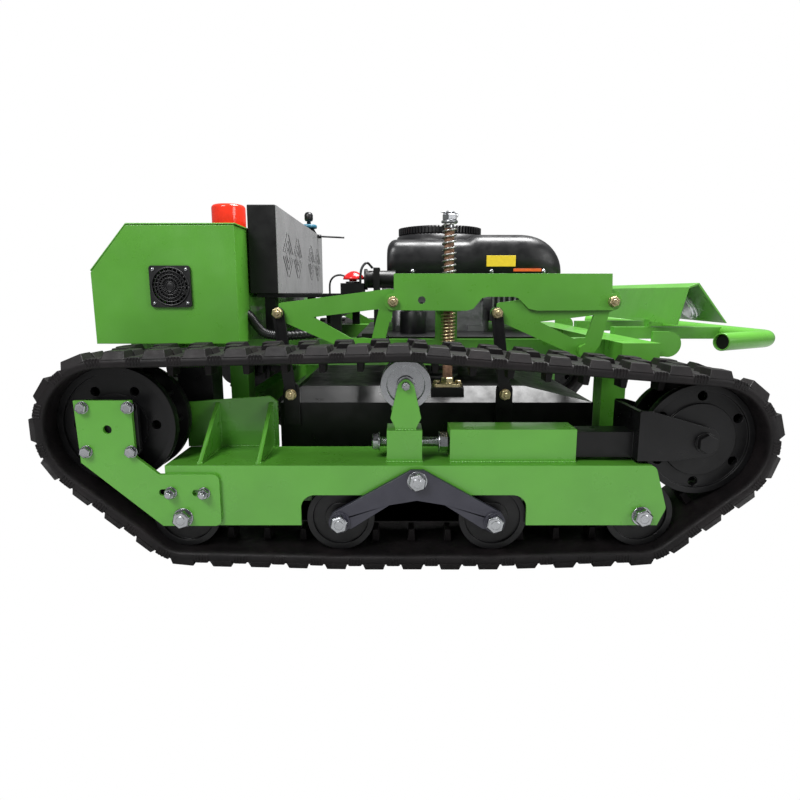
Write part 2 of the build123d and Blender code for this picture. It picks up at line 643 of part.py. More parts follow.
# ---- engine ----
def engine_block():
    sump = block((-110, 150), (-130, 130), (ENGINE_BASE, 500))
    sump = fillet(sump.edges().filter_by(Axis.Z), 24)
    body = sump + block((-90, 130), (-110, 110), (500, 600))
    for side in (-1, 1):
        for k in range(8):
            fin_x = 150 + k * 14
            body = body + Pos(fin_x + 3, side * 92, 508) * Box(5, 130, 118)
        body = body + Pos(200, side * 92, 508) * Rot(0, 90, 0) * Cylinder(44, 140)
        body = body + Pos(276, side * 92, 508) * Box(16, 120, 100)
    feet = [block((x, x + 40), (side * 150, side * 110), (ENGINE_BASE, 438)) for x in (-100, 90) for side in (-1, 1)]
    body = body.fuse(*feet)
    return body - rod_z(CRANKSHAFT_X, 0, (420, 600), 22)


def engine_cowl():
    """Black cooling shroud with a rounded air-filter end at the front."""
    profile = [(-122, 578), (-122, 640), (-98, 664), (190, 664), (214, 676), (300, 680),
               (338, 660), (360, 620), (362, 578)]
    cover = plate_y(profile, (-190, 190))
    cover = fillet(cover.edges().filter_by(Axis.Z), 30)
    cover = cover - block((-116, 330), (-184, 184), (570, 600))
    crown = rod_z(CRANKSHAFT_X, 0, (664, 680), 118)
    return (cover + crown) - rod_z(CRANKSHAFT_X, 0, (590, 690), 92)


def engine_shaft():
    shaft = rod_z(CRANKSHAFT_X, 0, (342, 690), 14) + v_pulley(CRANKSHAFT_X, 0, PULLEY_Z, 62)
    return shaft + rod_z(CRANKSHAFT_X, 0, (612, 626), 84)


def rotating_screen():
    """Round debris screen with a ribbed rim, spun by the crankshaft."""
    x = CRANKSHAFT_X
    body = rod_z(x, 0, (690, 707), 113) - rod_z(x, 0, (688, 700), 104)
    ribs = [Rot(0, 0, 15 * k) * (Pos(113, 0, 698) * Box(6, 5, 16)) for k in range(24)]
    slots = [Rot(0, 0, 22.5 * k) * (Pos(70, 0, 704) * Box(44, 6, 20)) for k in range(16)]
    body = body + [Pos(x, 0, 0) * r for r in ribs]
    return body - [Pos(x, 0, 0) * s for s in slots]


def muffler():
    can = Pos(-40, 190, 520) * Rot(0, 90, 0) * Cylinder(48, 210)
    pipe = Pos(78, 190, 520) * Rot(0, 90, 0) * Cylinder(14, 30)
    link = block((-10, 20), (110, 150), (500, 530))
    return can + pipe + link


def oil_filter():
    x, y = -56.0, -226.0
    can = rod_z(x, y, (ENGINE_BASE, 478), 33)
    neck = block((x - 14, x + 14), (-226, -130), (482, 494)) + rod_z(x, y, (478, 500), 24)
    return can + neck


# ---- boxes ----
def control_box():
    x0, x1 = BOX_X
    z0, z1 = BOX_Z
    cx, cz = BOX_CHAMFER[0], BOX_CHAMFER[1]
    outer = plate_y([(x0, z0), (x0, cz), (cx, z1), (x1, z1), (x1, z0)], (-BOX_HALF_Y, BOX_HALF_Y))
    inner = plate_y([(x0 + 3, z0 + 3), (x0 + 3, cz + 1), (cx + 1, z1 + 2), (x1 - 3, z1 + 2), (x1 - 3, z0 + 3)],
                    (-BOX_HALF_Y + 3, BOX_HALF_Y - 3))
    shell = outer - inner
    shell = shell - plate_y([(x0 - 5, cz + 1), (cx - 2, z1 - 1.5), (x1 + 5, z1 - 1.5), (x1 + 5, z1 + 5),
                             (x0 - 5, z1 + 5)], (-BOX_HALF_Y - 1, BOX_HALF_Y + 1))
    for side in (-1, 1):
        shell = shell - rod_y(FAN[0], (side * 475, side * 460), FAN[1], 36)
    return shell


FAN = (-560.0, 536.0)


def box_lid():
    """Folded lid over the top and the rear chamfer."""
    x0, x1 = BOX_X
    z1 = BOX_Z[1]
    cx, cz = BOX_CHAMFER
    profile = [(x0 + 1, cz + 3), (cx - 1, z1 - 0.5), (x1 + 2, z1 - 0.5), (x1 + 2, z1 + 2.5),
               (cx - 2, z1 + 2.5), (x0 - 1, cz + 5)]
    lid = plate_y(profile, (-BOX_HALF_Y, BOX_HALF_Y))
    return lid


def box_hinges():
    cx, cz = BOX_X[0] - 4, BOX_CHAMFER[1]
    return group([rod_y(cx, (y - 35, y + 35), cz, 4) for y in (-300, 300)])


def fan_guard(side):
    x, z = FAN
    frame = block((x - 42, x + 42), (side * 476, side * 470), (z - 42, z + 42))
    frame = fillet(frame.edges().filter_by(Axis.Y), 6) - rod_y(x, (side * 478, side * 468), z, 36)
    rings = [tube_y(x, (min(side * 475, side * 471), max(side * 475, side * 471)), z, r, r - 2)
             for r in (12, 20, 28)]
    spokes = [Pos(x, side * 473, z) * Rot(0, 45 * k, 0) * Box(74, 3, 2.4) for k in range(4)]
    hub = rod_y(x, (side * 475, side * 471), z, 8)
    return frame.fuse(*rings, *spokes, hub)


def fan_rotor(side):
    x, z = FAN
    hub = rod_y(x, (side * 464, side * 442), z, 14)
    vanes = [Pos(x, side * 453, z) * Rot(0, 360 / 7 * k, 0) * Pos(22, 0, 0) * Rot(40, 0, 0) * Box(22, 3, 18)
             for k in range(7)]
    return hub.fuse(*vanes)


def fan_frame(side):
    x, z = FAN
    y = (side * 467, side * 440)
    frame = block((x - 40, x + 40), y, (z - 40, z + 40)) - rod_y(x, (side * 468, side * 439), z, 37)
    spider = block((x - 38, x + 38), (side * 441, side * 438), (z - 3, z + 3))
    return frame + spider + block((x - 3, x + 3), (side * 441, side * 438), (z - 38, z + 38))


def beacon_base():
    z = BOX_Z[1] + 2.5
    return rod_z(-566, 0, (z, z + 12), 48)


def beacon_lens():
    z = BOX_Z[1] + 14.5
    lens = rod_z(-566, 0, (z, z + 88), 46)
    lens = fillet(lens.edges().group_by(Axis.Z)[-1], 10)
    return lens - rod_z(-566, 0, (z - 1, z + 80), 42)


def beacon_lamp():
    z = BOX_Z[1] + 14.5
    return rod_z(-566, 0, (z, z + 30), 12) + rod_z(-566, 0, (z + 30, z + 56), 8)


def grille_box():
    shell = block(GRILLE_X, (-GRILLE_HALF_Y, GRILLE_HALF_Y), GRILLE_Z)
    shell = shell - block((GRILLE_X[0] + 3, GRILLE_X[1] - 3), (-GRILLE_HALF_Y + 3, GRILLE_HALF_Y - 3),
                          (GRILLE_Z[0] + 3, GRILLE_Z[1] - 3))
    cuts = []
    for y0, y1 in ((-324, -49), (49, 324)):
        for row in range(3):
            z = 574 + row * 38
            for col in range(6):
                y = y0 + 23 + col * (y1 - y0 - 46) / 5
                tile = Pos(GRILLE_X[1] - 1, y, z) * Rot(45, 0, 0)
                cuts.append(tile * Box(10, 15, 4))
                cuts.append(tile * Pos(0, 0, 8) * Box(10, 15, 4))
    return shell - cuts


def platform():
    top = block((-410, -221), (-360, 360), (513, 521))
    legs = [block((-400, -376), (s * 330, s * 300), (418, 513)) for s in (-1, 1)]
    legs = legs + [block((-250, -226), (s * 330, s * 300), (418, 513)) for s in (-1, 1)]
    skirt = block((-225, -221), (-360, 360), (470, 513))
    tab = block((-221, -170), (-330, -270), (513, 521))
    return top.fuse(skirt, tab, *legs)


def estop_base():
    base = block((-226, -172), (-326, -274), (521, 545)) + rod_z(-199, -300, (545, 549), 17)
    return base - rod_z(-199, -300, (540, 550), 10)


def estop_button():
    cap = rod_z(-199, -300, (556, 573), 20)
    cap = fillet(cap.edges().group_by(Axis.Z)[-1], 8)
    return cap + rod_z(-199, -300, (549.5, 556), 9)


def actuator_body():
    body = rod_x((-165, -100), -300, 554, 20) + rod_x((-172, -165), -300, 554, 24)
    return body - rod_x((-160, -99), -300, 554, 8.3)


def actuator_rod():
    return rod_x((-158, -40), -300, 554, 8) + rod_x((-40, -26), -300, 554, 14)


def actuator_bracket():
    """Stand that holds the actuator above the engine plate."""
    foot = block((-178, -120), (-330, -270), (ENGINE_BASE, 430)) + block((-150, -140), (-316, -284), (430, 534))
    return foot + (block((-150, -136), (-330, -270), (528, 580)) - rod_x((-151, -135), -300, 554, 20))


def top_knob():
    """Round mode knob on a conical base, far end of the grille box."""
    base = Pos(-381, 250, 716) * Cone(24, 14, 10)
    disc = rod_z(-381, 250, (721, 740), 25)
    knob = rod_z(-381, 250, (740, 776), 14)
    knob = fillet(knob.edges().group_by(Axis.Z)[-1], 4)
    return base + disc + knob


def antenna():
    return rod_x((-357, -270), 268, 702, 3) + rod_x((-357, -345), 268, 702, 7)


# ---- bumper ----
def bumper():
    radius = 19.0
    front = BUMPER_FRONT - radius
    points = [(front - 163, -459, BUMPER_Z), (front, -363, BUMPER_Z),
              (front, 363, BUMPER_Z), (front - 163, 459, BUMPER_Z)]
    path = FilletPolyline(*points, radius=60)
    start = Plane(origin=path @ 0, z_dir=path % 0)
    tube = sweep(start * Circle(radius), path=path)
    bore = sweep(start * Circle(radius - 3), path=path)
    bar = tube - bore
    lengths = ((-520, -320), (-320, 320), (320, 520))
    return group([bar & block((500, 800), length, (350, 500)) for length in lengths])


def bumper_arms():
    arms = []
    for side in (-1, 1):
        y = side * 164
        arm = block((BEAM_X[1], 745), (y - 15, y + 15), (BUMPER_Z - 15, BUMPER_Z + 15))
        arm = arm - rod_y(BUMPER_FRONT - 19, (y - 20, y + 20), BUMPER_Z, 19)
        ear = block((BEAM_X[1], 500), (side * 412, side * 404), (385, 440)) + rod_y(500, (side * 412, side * 404), 412, 28)
        arms = arms + [arm, ear]
    return arms


def front_guard():
    """Bent sheet guard with two lamp holes in its sloping face."""
    line = [(552, 450), (571, 536), (597, 546), (670, 454)]
    outer = [(x, z) for x, z in line]
    inner = [(x + dx, z + dz) for (x, z), (dx, dz) in zip(line, ((4, 0), (4, -3), (-2, -5), (-5, 0)))]
    sheet = plate_y(outer + inner[::-1], (-330, 330))
    feet = [block((552, 558), (s * 179, s * 149), (BUMPER_Z + 15, 456)) for s in (-1, 1)]
    slope = math.degrees(math.atan2(92, 73))
    for side in (-1, 1):
        hole = Pos(634, side * 200, 500) * Rot(0, slope, 0) * Cylinder(42, 60)
        sheet = sheet - hole
    sheet = sheet - Pos(648, -80, 482) * Rot(0, slope, 0) * Box(20, 60, 40)
    return sheet.fuse(*feet)


def headlamps():
    slope = math.degrees(math.atan2(92, 73))
    lamps = []
    for side in (-1, 1):
        place = Pos(634, side * 200, 500) * Rot(0, slope, 0)
        lamp = place * Cylinder(37, 30) + place * Pos(0, 0, -8) * Cylinder(46, 6)
        lamps.append(lamp)
    return group(lamps)


# ---- write every node ----
def both_sides(right):
    """One node with the right piece and its mirror image."""
    return group([right, mirror_y(right)])


save("main_frame", group([main_frame(), pivot_nuts()]))
save("engine_plate", engine_plate())
save_pair("track_belt", track_belt())
save_pair("track_frame", track_frame())
save("bearing_plates", both_sides(bearing_plate()))
save("flange_bearings", both_sides(flange_bearing()))
save("track_fasteners", both_sides(group([bearing_bolts(), frame_axles(), tension_bolt()])))
save_pair("sprocket", sprocket() + sprocket_shaft())
save("drive_units", both_sides(group([drive_gearbox(), drive_motor()])))
save_pair("idler_fork", group([idler_fork(), idler_axle()]))
save_pair("idler_wheel", idler())
save_pair("carrier_roller", roller(CARRIER, 36, 22, 17, 8.05))
ROAD_ROLLERS = (REAR_ROLLER,) + BOGIE_ROLLERS + (FRONT_ROLLER,)
for number, place in enumerate(ROAD_ROLLERS, start=1):
    wheel = roller(place, 60, 25, 30, 10.05)
    save(f"road_roller_right_{number}", wheel)
    save(f"road_roller_left_{number}", mirror_y(wheel))
save_pair("bogie_rocker", group([bogie_rocker(), bogie_axles()]))
for end, pivot_x, window in zip(("rear", "front"), CRANK_X, CRANK_WINDOWS):
    save_pair(f"lift_crank_{end}", group([crank(pivot_x, window), crank_pins(pivot_x)]))
save_pair("lift_bar", lift_bar())
save("deck_links", group([deck_links(), deck_link_bolts()]))
save("deck_shell", deck_shell())
save("spindle_housings", spindle_housing())
save("blade_right", blade_set(-1))
save("blade_left", blade_set(1))
save("drive_belt", drive_belt())
save("spring_rod", spring_rod())
save("rod_springs", rod_springs())
save("engine_block", engine_block())
save("engine_cowl", engine_cowl())
save("rotating_screen", group([engine_shaft(), rotating_screen()]))
save("muffler", muffler())
save("oil_filter", oil_filter())
save("control_box", control_box())
save("box_lid", box_lid())
save("beacon", group([beacon_base(), beacon_lens(), beacon_lamp()]))
save("fan_guard", group([fan_guard(-1), fan_frame(-1)]))
save("fan_rotor", fan_rotor(-1))
save("grille_box", grille_box())
save("platform", group([platform(), estop_base()]))
save("estop_button", estop_button())
save("lift_actuator", group([actuator_body(), actuator_bracket()]))
save("top_knob", group([top_knob(), antenna()]))
save("bumper", bumper())
save("front_guard", front_guard())
save("headlamps", headlamps())
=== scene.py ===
import json
import math
import random

import bmesh
import bpy
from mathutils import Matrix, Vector


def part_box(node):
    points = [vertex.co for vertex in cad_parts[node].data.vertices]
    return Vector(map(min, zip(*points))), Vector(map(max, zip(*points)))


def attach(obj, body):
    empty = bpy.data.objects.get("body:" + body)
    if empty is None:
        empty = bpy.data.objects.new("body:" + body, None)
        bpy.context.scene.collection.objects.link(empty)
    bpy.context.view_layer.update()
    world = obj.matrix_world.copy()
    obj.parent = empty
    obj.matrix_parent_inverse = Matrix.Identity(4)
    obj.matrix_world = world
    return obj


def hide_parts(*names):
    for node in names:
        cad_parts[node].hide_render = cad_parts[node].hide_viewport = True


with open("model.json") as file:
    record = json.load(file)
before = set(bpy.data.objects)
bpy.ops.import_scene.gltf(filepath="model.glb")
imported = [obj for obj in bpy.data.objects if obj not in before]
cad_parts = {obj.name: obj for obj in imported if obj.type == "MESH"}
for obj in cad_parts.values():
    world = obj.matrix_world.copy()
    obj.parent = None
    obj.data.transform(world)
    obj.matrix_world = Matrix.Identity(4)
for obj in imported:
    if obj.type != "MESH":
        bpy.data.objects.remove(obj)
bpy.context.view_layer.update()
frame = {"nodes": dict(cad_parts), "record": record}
NODES = frame["nodes"]
SLOT_OF = {part["node"]: part["material_slot"] for part in frame["record"]["subparts"]}
BODY_OF = {node: body for body, members in frame["record"]["behaviour"]["bodies"].items() for node in members}
MM = 0.001
UP = (0, 0, 1)
SIDES = (("right", -1), ("left", 1))

# camera and lamps: place, target, size in metres and power in watts
CAMERA_AT = (-0.089, -1.699, 0.524)
CAMERA_TILT_DEG = 79.6
LENS_MM = 26.37
SENSOR_MM = 36.0
WORLD_STRENGTH = 0.27
LAMPS = (("key", (-1.6, -2.6, 2.6), (0, 0, 0.3), 1.3, 86),
         ("top", (0.6, 0.0, 3.2), (0, 0, 0.3), 1.6, 230),
         ("fill", (2.4, -2.2, 1.2), (0.2, 0, 0.3), 1.1, 24))

# track units: distances out from the middle plane, and heights
PLATE_FACE_Y = 0.650
BOGIE_NUT_Y = 0.654
BOGIE_PIVOT_Z = 0.179
BEARING_HOLES = 41.5 * MM
TENSION_Y = 0.588
TENSION_Z = 0.238
TENSION_HEAD_X = -0.128
TENSION_NUT_X = -0.014
FRAME_TOP_Z = 0.206
BELT_GAP = 0.6 * MM
BELT_THICK = 20 * MM
LUG_PITCH = 72 * MM
LOOP_SAMPLES = 4000

# engine, lift linkage and electrics
COWL_FLANK_Y = 0.19
COWL_SCREW_Z = 0.576
CRANK_PIVOT_X = (("rear", -0.162), ("front", 0.303))
CRANK_PIVOT_Z = 0.402
DECK_LINK_X = (-0.326, 0.139)
DECK_LINK_Z = 0.306
GRILLE_MIDDLE_Z = 0.612


# ---- camera, light and floor ----
def add_camera():
    data = bpy.data.cameras.new("camera")
    data.lens = LENS_MM
    data.sensor_width = SENSOR_MM
    camera = bpy.data.objects.new("camera", data)
    camera.location = CAMERA_AT
    camera.rotation_euler = (math.radians(CAMERA_TILT_DEG), 0, 0)
    bpy.context.scene.collection.objects.link(camera)
    bpy.context.scene.camera = camera


def add_area(name, place, target, size, power):
    data = bpy.data.lights.new(name, "AREA")
    data.size = size
    data.energy = power
    lamp = bpy.data.objects.new(name, data)
    lamp.location = place
    lamp.rotation_euler = (Vector(target) - Vector(place)).to_track_quat("-Z", "Y").to_euler()
    bpy.context.scene.collection.objects.link(lamp)


def add_world():
    """Soft light all round, with a plain white backdrop for the camera."""
    world = bpy.data.worlds.new("studio")
    world.use_nodes = True
    nodes, links = world.node_tree.nodes, world.node_tree.links
    light = nodes["Background"]
    light.inputs["Color"].default_value = (1, 1, 1, 1)
    light.inputs["Strength"].default_value = WORLD_STRENGTH
    backdrop = nodes.new("ShaderNodeBackground")
    backdrop.inputs["Color"].default_value = (1, 1, 1, 1)
    mix = nodes.new("ShaderNodeMixShader")
    links.new(nodes.new("ShaderNodeLightPath").outputs["Is Camera Ray"], mix.inputs["Fac"])
    links.new(light.outputs["Background"], mix.inputs[1])
    links.new(backdrop.outputs["Background"], mix.inputs[2])
    links.new(mix.outputs["Shader"], nodes["World Output"].inputs["Surface"])
    bpy.context.scene.world = world


def add_floor():
    """Pale paper that the camera doesn't see, and a near-black patch that paints the shadow on the ground
    under the deck.
    """
    bpy.ops.mesh.primitive_plane_add(size=30, location=(0, 0, -0.0005))
    floor = bpy.context.object
    floor.name = "floor"
    floor.data.materials.append(make_material("floor_paper", (0.4, 0.4, 0.4), 0.9, variation=0.02, scale=3))
    floor.visible_camera = False
    # painted shadow: a near-black patch, visible to the camera, stands for the ground in shade between the
    # tracks under the deck
    bpy.ops.mesh.primitive_plane_add(size=1, location=(-0.05, 0, 0.0005))
    shade = bpy.context.object
    shade.name = "painted_shadow_under_deck"
    shade.scale = (0.66, 0.88, 1)
    dark = make_material("floor_shade", (0.012, 0.012, 0.012), 0.9, variation=0.1, scale=3, spec=0.0)
    shade.data.materials.append(dark)


def add_studio():
    add_world()
    for lamp in LAMPS:
        add_area(*lamp)
    bpy.context.scene.view_settings.view_transform = "Standard"
    add_floor()


# ---- materials ----
def make_material(name, colour, rough, metallic=0.0, variation=0.12, scale=30.0, grain=500.0, bump=0.05,
                  bump_depth=0.0006, coat=0.0, dust=0.0, dust_colour=(0.16, 0.11, 0.075), rough_spread=0.1,
                  spec=0.5):
    """Procedural finish: broad colour variation, fine grain bump, uneven gloss and settled dust."""
    material = bpy.data.materials.new(name)
    material.use_nodes = True
    nodes, links = material.node_tree.nodes, material.node_tree.links
    shader = nodes["Principled BSDF"]
    shader.inputs["Metallic"].default_value = metallic
    shader.inputs["Coat Weight"].default_value = coat
    shader.inputs["Specular IOR Level"].default_value = spec
    place = nodes.new("ShaderNodeTexCoord")

    def noise(size, detail=3.0, rough_noise=0.55):
        node = nodes.new("ShaderNodeTexNoise")
        node.inputs["Scale"].default_value = size
        node.inputs["Detail"].default_value = detail
        node.inputs["Roughness"].default_value = rough_noise
        links.new(place.outputs["Object"], node.inputs["Vector"])
        return node

    def ramp(source, low, high, start=0.3, end=0.7):
        node = nodes.new("ShaderNodeValToRGB")
        node.color_ramp.elements[0].position = start
        node.color_ramp.elements[1].position = end
        node.color_ramp.elements[0].color = (*low, 1)
        node.color_ramp.elements[1].color = (*high, 1)
        links.new(source, node.inputs["Fac"])
        return node

    broad = noise(scale)
    dark = [c * (1 - variation) for c in colour]
    light = [min(1.0, c * (1 + variation)) for c in colour]
    tint = ramp(broad.outputs["Fac"], dark, light).outputs["Color"]
    fine = noise(grain, 2.0)
    if dust > 0:
        patches = ramp(noise(scale * 0.6, 5.0, 0.7).outputs["Fac"], (0, 0, 0), (dust,) * 3, 0.42, 0.68)
        mix = nodes.new("ShaderNodeMix")
        mix.data_type = "RGBA"
        mix.inputs["B"].default_value = (*dust_colour, 1)
        links.new(patches.outputs["Color"], mix.inputs["Factor"])
        links.new(tint, mix.inputs["A"])
        tint = mix.outputs["Result"]
    links.new(tint, shader.inputs["Base Color"])
    low, high = max(0.02, rough - rough_spread), min(1.0, rough + rough_spread)
    gloss = ramp(noise(scale * 2.3, 4.0).outputs["Fac"], (low,) * 3, (high,) * 3)
    links.new(gloss.outputs["Color"], shader.inputs["Roughness"])
    if bump > 0:
        relief = nodes.new("ShaderNodeBump")
        relief.inputs["Strength"].default_value = bump
        relief.inputs["Distance"].default_value = bump_depth
        links.new(fine.outputs["Fac"], relief.inputs["Height"])
        links.new(relief.outputs["Normal"], shader.inputs["Normal"])
    return material


# name: colour, roughness, and whatever differs from make_material's defaults
LOOKS = {
    "green_paint": dict(colour=(0.088, 0.315, 0.030), rough=0.34, variation=0.07, scale=9, grain=420,
                        bump=0.12, coat=0.3, dust=0.015, dust_colour=(0.2, 0.3, 0.1)),
    "black_paint": dict(colour=(0.0045, 0.0045, 0.005), rough=0.36, variation=0.25, scale=14, grain=520,
                        bump=0.15, dust=0.12, dust_colour=(0.014, 0.013, 0.013), spec=0.3),
    "slate_paint": dict(colour=(0.028, 0.028, 0.041), rough=0.42, variation=0.12, scale=26, bump=0.3),
    "track_rubber": dict(colour=(0.0045, 0.0038, 0.0042), rough=0.52, variation=0.3, scale=24, grain=700,
                         bump=0.5, bump_depth=0.0008, dust=0.45, dust_colour=(0.016, 0.0115, 0.0125),
                         spec=0.24),
    "belt_rubber": dict(colour=(0.014, 0.014, 0.014), rough=0.7, scale=60, bump=0.4),
    "zinc_steel": dict(colour=(0.36, 0.37, 0.385), rough=0.26, metallic=1.0, variation=0.06, scale=45,
                       grain=300, bump=0.06),
    "blade_steel": dict(colour=(0.4, 0.4, 0.41), rough=0.4, metallic=1.0, variation=0.2, scale=40,
                        bump=0.3),
    "yellow_zinc": dict(colour=(0.56, 0.47, 0.27), rough=0.32, metallic=1.0, variation=0.22, scale=110,
                        bump=0.25),
    "cast_aluminium": dict(colour=(0.2, 0.2, 0.21), rough=0.45, metallic=0.9, variation=0.15, scale=35,
                           grain=1100, bump=0.6, dust=0.2, dust_colour=(0.12, 0.11, 0.1)),
    "black_plastic": dict(colour=(0.006, 0.006, 0.007), rough=0.38, variation=0.15, scale=20, grain=1300,
                          bump=0.08, coat=0.03),
    "red_lens": dict(colour=(0.82, 0.03, 0.012), rough=0.14, variation=0.12, scale=40, grain=300,
                     bump=0.05),
    "red_plastic": dict(colour=(0.62, 0.01, 0.012), rough=0.22, variation=0.08, scale=60, bump=0.05),
    "lamp_glass": dict(colour=(0.7, 0.72, 0.75), rough=0.1, metallic=0.5, variation=0.06, scale=60,
                       bump=0.1),
    "rust_rod": dict(colour=(0.27, 0.15, 0.095), rough=0.6, metallic=0.4, variation=0.4, scale=120,
                     bump=0.5),
    "spring_wire": dict(colour=(0.36, 0.36, 0.35), rough=0.35, metallic=1.0, variation=0.2, scale=150),
    "satin_grey": dict(colour=(0.26, 0.26, 0.265), rough=0.36, variation=0.1, scale=18, bump=0.2),
    "yellow_patch": dict(colour=(0.85, 0.62, 0.03), rough=0.4, variation=0.06, scale=200, bump=0.03),
    "orange_patch": dict(colour=(0.75, 0.13, 0.02), rough=0.4, variation=0.1, scale=200, bump=0.03),
    "blue_plastic": dict(colour=(0.02, 0.13, 0.2), rough=0.35, variation=0.1, scale=60, bump=0.1),
}

add_camera()
add_studio()
FINISH = {name: make_material(name, **look) for name, look in LOOKS.items()}


# ---- mesh helpers ----
def round_edges(piece, width, angle_deg):
    edge = piece.modifiers.new("edge", "BEVEL")
    edge.width = width
    edge.segments = 2
    edge.limit_method = "ANGLE"
    edge.angle_limit = math.radians(angle_deg)
    edge.harden_normals = True


def add_piece(name, mesh, body, slot, finish=None, bevel=0.0, smooth=True):
    """A new object that rides on a body and takes its look from a material slot."""
    mesh.name = name
    piece = bpy.data.objects.new(name, mesh)
    bpy.context.scene.collection.objects.link(piece)
    mesh.materials.append(FINISH[finish or slot])
    if smooth:
        mesh.polygons.foreach_set("use_smooth", [True] * len(mesh.polygons))
    if bevel > 0:
        round_edges(piece, bevel, 32)
    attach(piece, body)
    return piece


def finish_mesh(work):
    """Close a bmesh into a mesh with its faces turned outwards."""
    bmesh.ops.recalc_face_normals(work, faces=work.faces)
    mesh = bpy.data.meshes.new("piece")
    work.to_mesh(mesh)
    work.free()
    return mesh


def add_block(work, corners):
    """Eight corners, the lower four then the upper four, as one closed block."""
    v = [work.verts.new(c) for c in corners]
    for loop in ((0, 1, 2, 3), (4, 5, 6, 7), (0, 1, 5, 4), (1, 2, 6, 5), (2, 3, 7, 6), (3, 0, 4, 7)):
        work.faces.new([v[k] for k in loop])


def add_box(work, low, high):
    (x0, y0, z0), (x1, y1, z1) = low, high
    add_block(work, [(x0, y0, z0), (x1, y0, z0), (x1, y1, z0), (x0, y1, z0),
                     (x0, y0, z1), (x1, y0, z1), (x1, y1, z1), (x0, y1, z1)])


def add_lathe(work, at, axis, profile, sides=32, phase=0.0):
    """Solid of revolution: profile holds (distance along the axis, radius)."""
    turn = Vector(axis).normalized().to_track_quat("Z", "Y").to_matrix()
    rings = []
    for along, radius in profile:
        if radius <= 0:
            rings.append([work.verts.new(Vector(at) + turn @ Vector((0, 0, along)))])
            continue
        ring = []
        for k in range(sides):
            a = phase + 2 * math.pi * k / sides
            spot = Vector((radius * math.cos(a), radius * math.sin(a), along))
            ring.append(work.verts.new(Vector(at) + turn @ spot))
        rings.append(ring)
    for one, two in zip(rings, rings[1:]):
        for k in range(sides):
            n = (k + 1) % sides
            if len(one) == 1:
                work.faces.new((one[0], two[n], two[k]))
            elif len(two) == 1:
                work.faces.new((one[k], one[n], two[0]))
            else:
                work.faces.new((one[k], one[n], two[n], two[k]))
    for ring in (rings[0], rings[-1]):
        if len(ring) > 1:
            work.faces.new(ring)


def add_hex(work, at, axis, across, height, washer=True, stud=0.0, stud_radius=0.006):
    """Hexagon head or nut with a chamfered crown, a washer under it and a stud end."""
    radius = across / math.sqrt(3)
    if washer:
        washer_rim = [(0, radius * 1.08), (0.0016, radius * 1.1), (0.0024, radius * 1.06)]
        add_lathe(work, at, axis, washer_rim, 32)
    base = Vector(at) + Vector(axis).normalized() * 0.0022
    add_lathe(work, base, axis, [(0, radius * 0.97), (0.0008, radius), (height * 0.84, radius),
                                 (height, radius * 0.86), (height * 0.98, radius * 0.6)], 6, phase=0.3)
    if stud > 0:
        add_lathe(work, base, axis, [(height * 0.9, stud_radius), (height + stud - 0.001, stud_radius),
                                     (height + stud, stud_radius * 0.82)], 20)


def add_tube(work, points, radius, sides=12, wave=None):
    """Tube along points; wave(k) scales the radius at each point."""
    frames = []
    previous = None
    for k, point in enumerate(points):
        ahead = Vector(points[min(k + 1, len(points) - 1)]) - Vector(points[max(k - 1, 0)])
        ahead.normalize()
        if previous is None:
            side = ahead.orthogonal().normalized()
        else:
            side = (previous - ahead * previous.dot(ahead)).normalized()
        previous = side
        frames.append((Vector(point), side, ahead.cross(side)))
    rings = []
    for k, (point, side, up) in enumerate(frames):
        r = radius * (wave(k) if wave else 1.0)
        rings.append([work.verts.new(point + side * r * math.cos(a) + up * r * math.sin(a))
                      for a in [2 * math.pi * n / sides for n in range(sides)]])
    for one, two in zip(rings, rings[1:]):
        for n in range(sides):
            m = (n + 1) % sides
            work.faces.new((one[n], one[m], two[m], two[n]))
    work.faces.new(rings[0])
    work.faces.new(rings[-1])


def line_points(start, end, count):
    return [Vector(start).lerp(Vector(end), k / (count - 1)) for k in range(count)]


def add_spoke(work, x, angle, heights, outline):
    """Upright bar on the crankshaft's axis; outline holds (radius, sideways) at its four corners."""
    c, s = math.cos(angle), math.sin(angle)
    add_block(work, [(x + r * c - w * s, r * s + w * c, z) for z in heights for r, w in outline])


# ---- CAD nodes keep their shape and get their finish ----
def dress_cad_nodes():
    for name, node in NODES.items():
        node.data.materials.clear()
        node.data.materials.append(FINISH["black_paint" if name == "flange_bearings" else SLOT_OF[name]])
        weld = node.modifiers.new("weld", "WELD")
        weld.merge_threshold = 0.00002
        round_edges(node, 0.0011, 40)


dress_cad_nodes()


# ---- track belts ----
def wheel(node):
    low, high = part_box(node)
    return ((low.x + high.x) / 2, (low.z + high.z) / 2, (high.z - low.z) / 2)


def belt_loop(side):
    names = [f"sprocket_{side}", f"carrier_roller_{side}", f"idler_wheel_{side}"]
    names += [f"road_roller_{side}_{k}" for k in (4, 3, 2, 1)]
    return [wheel(name) for name in names]


def belt_pieces(loop, grow):
    """Straight runs and arcs of the loop, clockwise seen from the right side."""
    runs = []
    count = len(loop)
    for k in range(count):
        (x0, z0, r0), (x1, z1, r1) = loop[k], loop[(k + 1) % count]
        reach = math.hypot(x1 - x0, z1 - z0)
        angle = math.atan2(z1 - z0, x1 - x0) + math.pi / 2 - math.asin((r0 - r1) / reach)
        c, s = math.cos(angle), math.sin(angle)
        start = (x0 + (r0 + grow) * c, z0 + (r0 + grow) * s)
        end = (x1 + (r1 + grow) * c, z1 + (r1 + grow) * s)
        runs.append((start, end, angle))
    pieces = []
    for k in range(count):
        start, end, angle = runs[k]
        turn = (angle - runs[(k + 1) % count][2]) % (2 * math.pi)
        centre = loop[(k + 1) % count]
        pieces.append((math.dist(start, end), start, end, angle))
        pieces.append((turn * (centre[2] + grow), centre, grow, angle))
    return pieces


